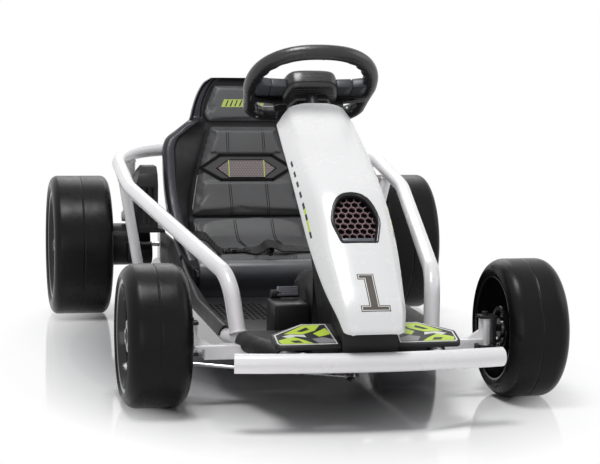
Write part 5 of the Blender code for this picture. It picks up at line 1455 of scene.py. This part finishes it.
def laid(points, surface, lift, step=0.006):
    """Points of a line on the seat's face, given as (x, z), carried onto a surface from the front."""
    made = []
    for a, b in zip(points, points[1:]):
        count = max(1, round((Vector(b) - Vector(a)).length / step))
        for i in range(count + (b == points[-1])):
            x, z = Vector(a).lerp(Vector(b), i / count)
            hit = surface.ray_cast(Vector((x, 0.0, z)), Vector((0, 1, 0)))[0]
            if hit:
                made.append(hit - Vector((0, lift, 0)))
    return made


LENS_OUTER = (  # x, z on the seat's back
    (-0.0995, 0.3170), (-0.0565, 0.3435), (0.0565, 0.3435), (0.0995, 0.3170), (0.0555, 0.2925),
    (-0.0555, 0.2925),
)
LENS_INNER = (
    (-0.0646, 0.3160), (-0.0384, 0.3333), (0.0384, 0.3333), (0.0646, 0.3160), (0.0386, 0.2969),
    (-0.0386, 0.2969),
)
LENS_HEIGHT = 0.3175
BADGE_HEIGHT = 0.454


def face_matrix(low, high, height):
    """The plane of the seat's face between two stations: X to the driver's left, up the seat, out of it."""
    tilt = math.atan2(high[1] - low[1], high[0] - low[0])
    normal = (0, -math.cos(tilt), math.sin(tilt))
    return frame_matrix((0, seat_y(height), height), (1, 0, 0), normal), tilt


LENS_MATRIX, LENS_TILT = face_matrix(*SEAT_STATIONS[2:4], LENS_HEIGHT)
BADGE_MATRIX, _ = face_matrix(*HEAD_STATIONS[1:3], BADGE_HEIGHT)


def in_lens(p):
    """Whether a point of the back cushion lies behind the lens."""
    return abs(p.x) < 0.104 and 0.287 < p.z < 0.349 and p.y < seat_y(p.z) + 0.006


def lens_plane(points):
    return [(x, (z - LENS_HEIGHT) / math.cos(LENS_TILT)) for x, z in points]


def seat_trim(looks, back, head, seat):
    """Seams, edge piping, the lens and the badge of the seat."""
    tree = surface_of(back)
    low_tree = surface_of(seat)
    head_tree = surface_of(head)
    mesh_data = bmesh.new()
    for x_top, x_lens, x_low, x_end in (
        (-0.0383, -0.0389, -0.0360, -0.0351), (0.0387, 0.0404, 0.0440, 0.0443),
    ):
        for apart in (-0.0021, 0.0021):
            for low, high, top_x, low_x, surface in (
                (0.3490, 0.4035, x_top, x_lens, tree), (0.2185, 0.2880, x_lens, x_low, tree),
                (0.1500, 0.2120, x_low, x_end, low_tree),
            ):
                points = laid([(top_x + apart, high), (low_x + apart, low)], surface, -0.0001)
                if len(points) > 2:
                    add_line(mesh_data, points, 0.0007, 6, 0)
    points = laid([(-0.118, 0.2163), (0.118, 0.2163)], tree, -0.0006)
    if len(points) > 2:
        add_line(mesh_data, points, 0.0013, 8, 0)
    edge = (
        (-0.0715, 0.4040), (-0.0812, 0.3792), (-0.0896, 0.3540), (-0.1035, 0.3058), (-0.1185, 0.2407),
        (-0.1212, 0.2190),
    )
    low_edge = ((-0.1195, 0.2110), (-0.1195, 0.1560))
    for side in (1, -1):
        for line, surface in ((edge, tree), (low_edge, low_tree)):
            points = laid([(side * x, z) for x, z in line], surface, 0.0009)
            if len(points) > 2:
                add_line(mesh_data, points, 0.0012, 6, 1)
    matrix = LENS_MATRIX
    add_prism(mesh_data, lens_plane(LENS_OUTER), matrix, -0.0030, 0.0006, index=2)
    for outline, width, high in ((LENS_OUTER, 0.0030, 0.0026), (LENS_INNER, 0.0010, 0.0018)):
        flat = [Vector(p) for p in lens_plane(outline)]
        for a, b in zip(flat, flat[1:] + flat[:1]):
            add_prism(mesh_data, bar_outline(a, b, width, width), matrix, -0.0010, high, 0.0004)
    add_prism(mesh_data, lens_plane(LENS_INNER), matrix, -0.0020, 0.0010, index=3)
    inside = grown_outline(lens_plane(LENS_INNER), -0.0010)
    add_hexagons(mesh_data, inside, matrix, 0.0034, 0.00035, 0.0005, 0.0015, 4)
    for side in (1, -1):
        left, right = side * 0.0385 - 0.0011, side * 0.0385 + 0.0011
        bar = ((left, 0.2975), (right, 0.2975), (right, 0.3330), (left, 0.3330))
        add_prism(mesh_data, lens_plane(bar), matrix, 0.0, 0.0021, index=5)
    names = ("thread_dark", "thread_pale", "lens_dark", "lens_pink", "brown_print", "badge_lime")
    finish = [looks[k] for k in names]
    piece("seat_trim", mesh_data, finish, angle=30)
    mesh_data = bmesh.new()
    blocks = [(-0.0490, 0.0190, 0.0075, -0.0085, 0.0085, 0), (0.0215, 0.0420, 0.0036, -0.0085, 0.0000, 0)]
    blocks += [(-0.0400 + 0.0100 * i, -0.0372 + 0.0100 * i, 0.0060, -0.0065, 0.0065, 1) for i in range(6)]
    for left, right, lean, low, high, index in blocks:
        outline = ((left, low), (right, low), (right + lean, high), (left + lean, high))
        add_print(mesh_data, outline, BADGE_MATRIX, head_tree, 0.0004 + 0.0003 * index, index)
    piece("headrest_badge", mesh_data, [looks["badge_lime"], looks["dark_print"]])


def strap(mesh_data, points, width, thick, tilt):
    """A flat strap through points. tilt(share of the run) turns its width about its run."""
    points = [Vector(p) for p in points]
    rings = []
    for i, point in enumerate(points):
        before, after = points[max(i - 1, 0)], points[min(i + 1, len(points) - 1)]
        ahead = (after - before).normalized()
        turn = tilt(i / (len(points) - 1))
        side = Vector((0, math.cos(turn), math.sin(turn)))
        side = (side - ahead * side.dot(ahead)).normalized()
        up = ahead.cross(side)
        half, thin = width / 2, thick / 2
        section = (
            (-half, -thin * 0.4), (-half * 0.96, -thin), (half * 0.96, -thin), (half, -thin * 0.4),
            (half, thin * 0.4), (half * 0.96, thin), (-half * 0.96, thin), (-half, thin * 0.4),
        )
        rings.append([point + side * u + up * v for u, v in section])
    add_rings(mesh_data, rings)


BELT_RIGHT = (
    (-0.158, 0.200, 0.190), (-0.150, 0.180, 0.204), (-0.134, 0.172, 0.203), (-0.120, 0.170, 0.190),
    (-0.104, 0.168, 0.1755), (-0.088, 0.166, 0.1730),
)
BELT_LEFT = (
    (-0.050, 0.170, 0.1735), (-0.035, 0.168, 0.1720), (-0.022, 0.166, 0.1760), (-0.010, 0.164, 0.1850),
    (0.004, 0.164, 0.1835), (0.014, 0.166, 0.1780), (0.040, 0.168, 0.1755), (0.080, 0.172, 0.1730),
    (0.118, 0.178, 0.1740), (0.140, 0.184, 0.1800), (0.152, 0.190, 0.1860),
)
BELT_FOLD = (
    (-0.040, 0.160, 0.1690), (-0.020, 0.157, 0.1685), (-0.006, 0.157, 0.1725), (-0.002, 0.160, 0.1790),
    (-0.010, 0.162, 0.1830),
)
BELT_LIFT = Vector((0, -0.007, 0.0045))
RIB_LIFT = Vector((0, -0.001, 0.0012))


def lap_belt(looks):
    """The belt across the seat: ribbed adjuster, side-release buckle and the strap beyond it."""
    mesh_data = bmesh.new()
    run = spline(BELT_RIGHT, 6)
    strap(mesh_data, run, 0.024, 0.0022, lambda s: math.radians(40 - 15 * s))
    for i in range(3, len(run) - 6, 2):
        rib = strap_rib(run, i) * 0.0125
        add_rod(mesh_data, run[i] - rib + RIB_LIFT, run[i] + rib + RIB_LIFT, 0.0014, 8)
    for low, high in (
        ((-0.0990, 0.1560, 0.1690), (-0.0880, 0.1830, 0.1790)),
        ((-0.0860, 0.1555, 0.1685), (-0.0640, 0.1835, 0.1800)),
        ((-0.0630, 0.1590, 0.1700), (-0.0560, 0.1800, 0.1780)),
        ((-0.0550, 0.1550, 0.1690), (-0.0440, 0.1840, 0.1800)),
    ):
        add_box(mesh_data, low, high, 0.0025, index=1)
    for y in (0.1575, 0.1785):
        add_box(mesh_data, (-0.0900, y, 0.1700), (-0.0500, y + 0.0030, 0.1782), 0.001, index=1)
    run = [point + BELT_LIFT for point in spline(BELT_LEFT, 6)]
    strap(mesh_data, run, 0.027, 0.0022, lambda s: math.radians(18 + 12 * math.sin(s * 5)))
    strap(mesh_data, spline(BELT_FOLD, 5), 0.024, 0.0020, lambda s: math.radians(25))
    finish = [looks["webbing"], looks["gloss_black"]]
    piece("lap_belt_webbing", mesh_data, finish, over=("lap_belt",), angle=40)


def strap_rib(points, i):
    """The direction across the strap at one of its points."""
    ahead = (points[i + 1] - points[i - 1]).normalized()
    side = Vector((0, math.cos(0.6), math.sin(0.6)))
    return (side - ahead * side.dot(ahead)).normalized()


APRON = (  # y, z of the moulded front under the cushion
    (0.1700, 0.1610), (0.1380, 0.1625), (0.1230, 0.1600), (0.1140, 0.1520), (0.1112, 0.1400), (0.1120, 0.1290),
    (0.1165, 0.1170), (0.1245, 0.1040), (0.1280, 0.0900),
)


def apron(looks):
    """The smooth moulded front under the seat cushion, in the seat plastic painted lighter as painted light."""
    front = [(y, z) for y, z in spline(APRON, 4)]
    outline = front + [(y + 0.0030, z - 0.0010) for y, z in reversed(front)]
    mesh_data = bmesh.new()
    ends = ((0.1540, 0.0030), (0.1525, 0.0006), (0.1500, 0.0))
    rings = []
    for x, back in [(-x, back) for x, back in ends] + list(reversed(ends)):
        rings.append([Vector((x, y + back, z)) for y, z in outline])
    add_rings(mesh_data, rings)
    # The apron's lighter grey is painted light.
    piece("seat_apron", mesh_data, looks["apron_painted_light"], angle=50)


# Deck and floor

DECK_FRONT_Y = -0.6120
DECK_FRONT_Z = 0.131
DECK_SLOPE = math.radians(17)


def deck_matrix():
    """The plane of the foot plates: X to the driver's left, up the plate, out of it."""
    normal = (0, -math.sin(DECK_SLOPE), math.cos(DECK_SLOPE))
    return frame_matrix((0, DECK_FRONT_Y, DECK_FRONT_Z), (1, 0, 0), normal)


DECK_PRINT = (  # outline as (x from the middle, distance up the plate), finish
    (((0.050, 0.006), (0.142, 0.006), (0.146, 0.012), (0.146, 0.040), (0.096, 0.074), (0.056, 0.074)), 2),
    (
        ((0.0525, 0.0085), (0.1405, 0.0085), (0.1435, 0.0130), (0.1435, 0.0385), (0.0950, 0.0715),
         (0.0585, 0.0715)), 1,
    ),
    (((0.088, 0.0090), (0.1400, 0.0090), (0.1425, 0.0210), (0.118, 0.0330), (0.100, 0.0200)), 0),
    (((0.100, 0.0400), (0.1300, 0.0420), (0.095, 0.0700), (0.066, 0.0705), (0.078, 0.0520)), 0),
    (((0.0535, 0.0400), (0.075, 0.0310), (0.083, 0.0420), (0.060, 0.0600)), 0),
    (((0.054, 0.0100), (0.080, 0.0100), (0.088, 0.0240), (0.070, 0.0290), (0.054, 0.0210)), 3),
    (((0.096, 0.0300), (0.112, 0.0340), (0.124, 0.0280), (0.134, 0.0340), (0.120, 0.0400), (0.098, 0.0380)), 2),
    (((0.104, 0.0120), (0.118, 0.0120), (0.124, 0.0190), (0.110, 0.0200)), 1),
    (((0.086, 0.0560), (0.100, 0.0480), (0.108, 0.0500), (0.090, 0.0630)), 1),
)


def deck_prints(looks, deck):
    """Angular fields of colour on both foot plates."""
    surface = surface_of(deck)
    mesh_data = bmesh.new()
    for side in (1, -1):
        for layer, (outline, index) in enumerate(DECK_PRINT):
            thick = 0.0002 + 0.00012 * min(layer, 2) + (0.00015 if layer > 4 else 0.0)
            shape = [(side * x, y) for x, y in outline]
            add_print(mesh_data, shape, deck_matrix(), surface, thick, index, 0.02)
    finish = [looks[k] for k in ("lime_print", "dark_print", "pale_print", "grey_print")]
    piece("foot_plate_prints", mesh_data, finish, angle=30)


FLOOR_TOP = 0.089
SLOT_HALF = 0.0036


def floor_tread(looks):
    """Rows of short slots in the floor where the feet rest, and the hole in the tub's side, as flat black marks
    of painted shade.
    """
    mesh_data = bmesh.new()
    for side in (1, -1):
        for row in range(9):
            for column in range(11):
                x = side * (0.050 + column * 0.0105)
                y = -0.130 + row * 0.0195 + (0.0065 if column % 2 else 0.0)
                for step in (0.0, 0.0072):
                    low = (x - SLOT_HALF, y + step, FLOOR_TOP - 0.0004)
                    add_box(mesh_data, low, (x + SLOT_HALF, y + step + 0.0034, FLOOR_TOP + 0.0006), 0.0012)
    # The slots and the side hole are flat black marks of painted shade.
    piece("floor_slots", mesh_data, looks["hollow_painted_shade"], angle=30)
    mesh_data = bmesh.new()
    add_rod(mesh_data, (-0.1905, 0.118, 0.170), (-0.1880, 0.118, 0.170), 0.0055, 20)
    piece("tub_side_hole", mesh_data, looks["hollow_painted_shade"])


PEDAL_PLACE = (-0.0595, -0.276, 0.1500)
PEDAL_LEAN = math.radians(-28)


def pedal(looks):
    """The pedal's satin pad, on the pad of the solid."""
    mesh_data = bmesh.new()
    place = Matrix.Translation(PEDAL_PLACE) @ Matrix.Rotation(PEDAL_LEAN, 4, "X")
    add_box(mesh_data, (-0.0190, -0.0016, 0.0060), (0.0190, 0.0002, 0.0235), 0.0022, place)
    for i in range(4):
        z = 0.0085 + 0.0038 * i
        add_box(mesh_data, (-0.0160, -0.0022, z), (0.0160, -0.0014, z + 0.0018), 0.0005, place)
    piece("pedal_face", mesh_data, looks["pedal_grey"], angle=40)


def build():
    looks = finishes()
    dress_solids(looks)
    tyres(looks)
    rims(looks)
    frame_tubes(looks)
    small_frame(looks)
    hood(looks)
    vent(looks)
    steering_wheel(looks)
    bucket_shell(looks)
    back, head, seat = cushions(looks)
    seat_trim(looks, back, head, seat)
    lap_belt(looks)
    apron(looks)
    made = soft_edged(looks)
    deck_prints(looks, made["foot_deck"])
    floor_tread(looks)
    pedal(looks)


def dress_solids(looks):
    """Gives every solid the material of its slot."""
    slots = {row["node"]: row["material_slot"] for row in frame["record"]["subparts"]}
    for name, solid in frame["nodes"].items():
        solid.data.materials.clear()
        solid.data.materials.append(looks[slots[name]][0])


camera()
stage()
lights()
build()
bpy.context.scene.view_settings.view_transform = "Standard"
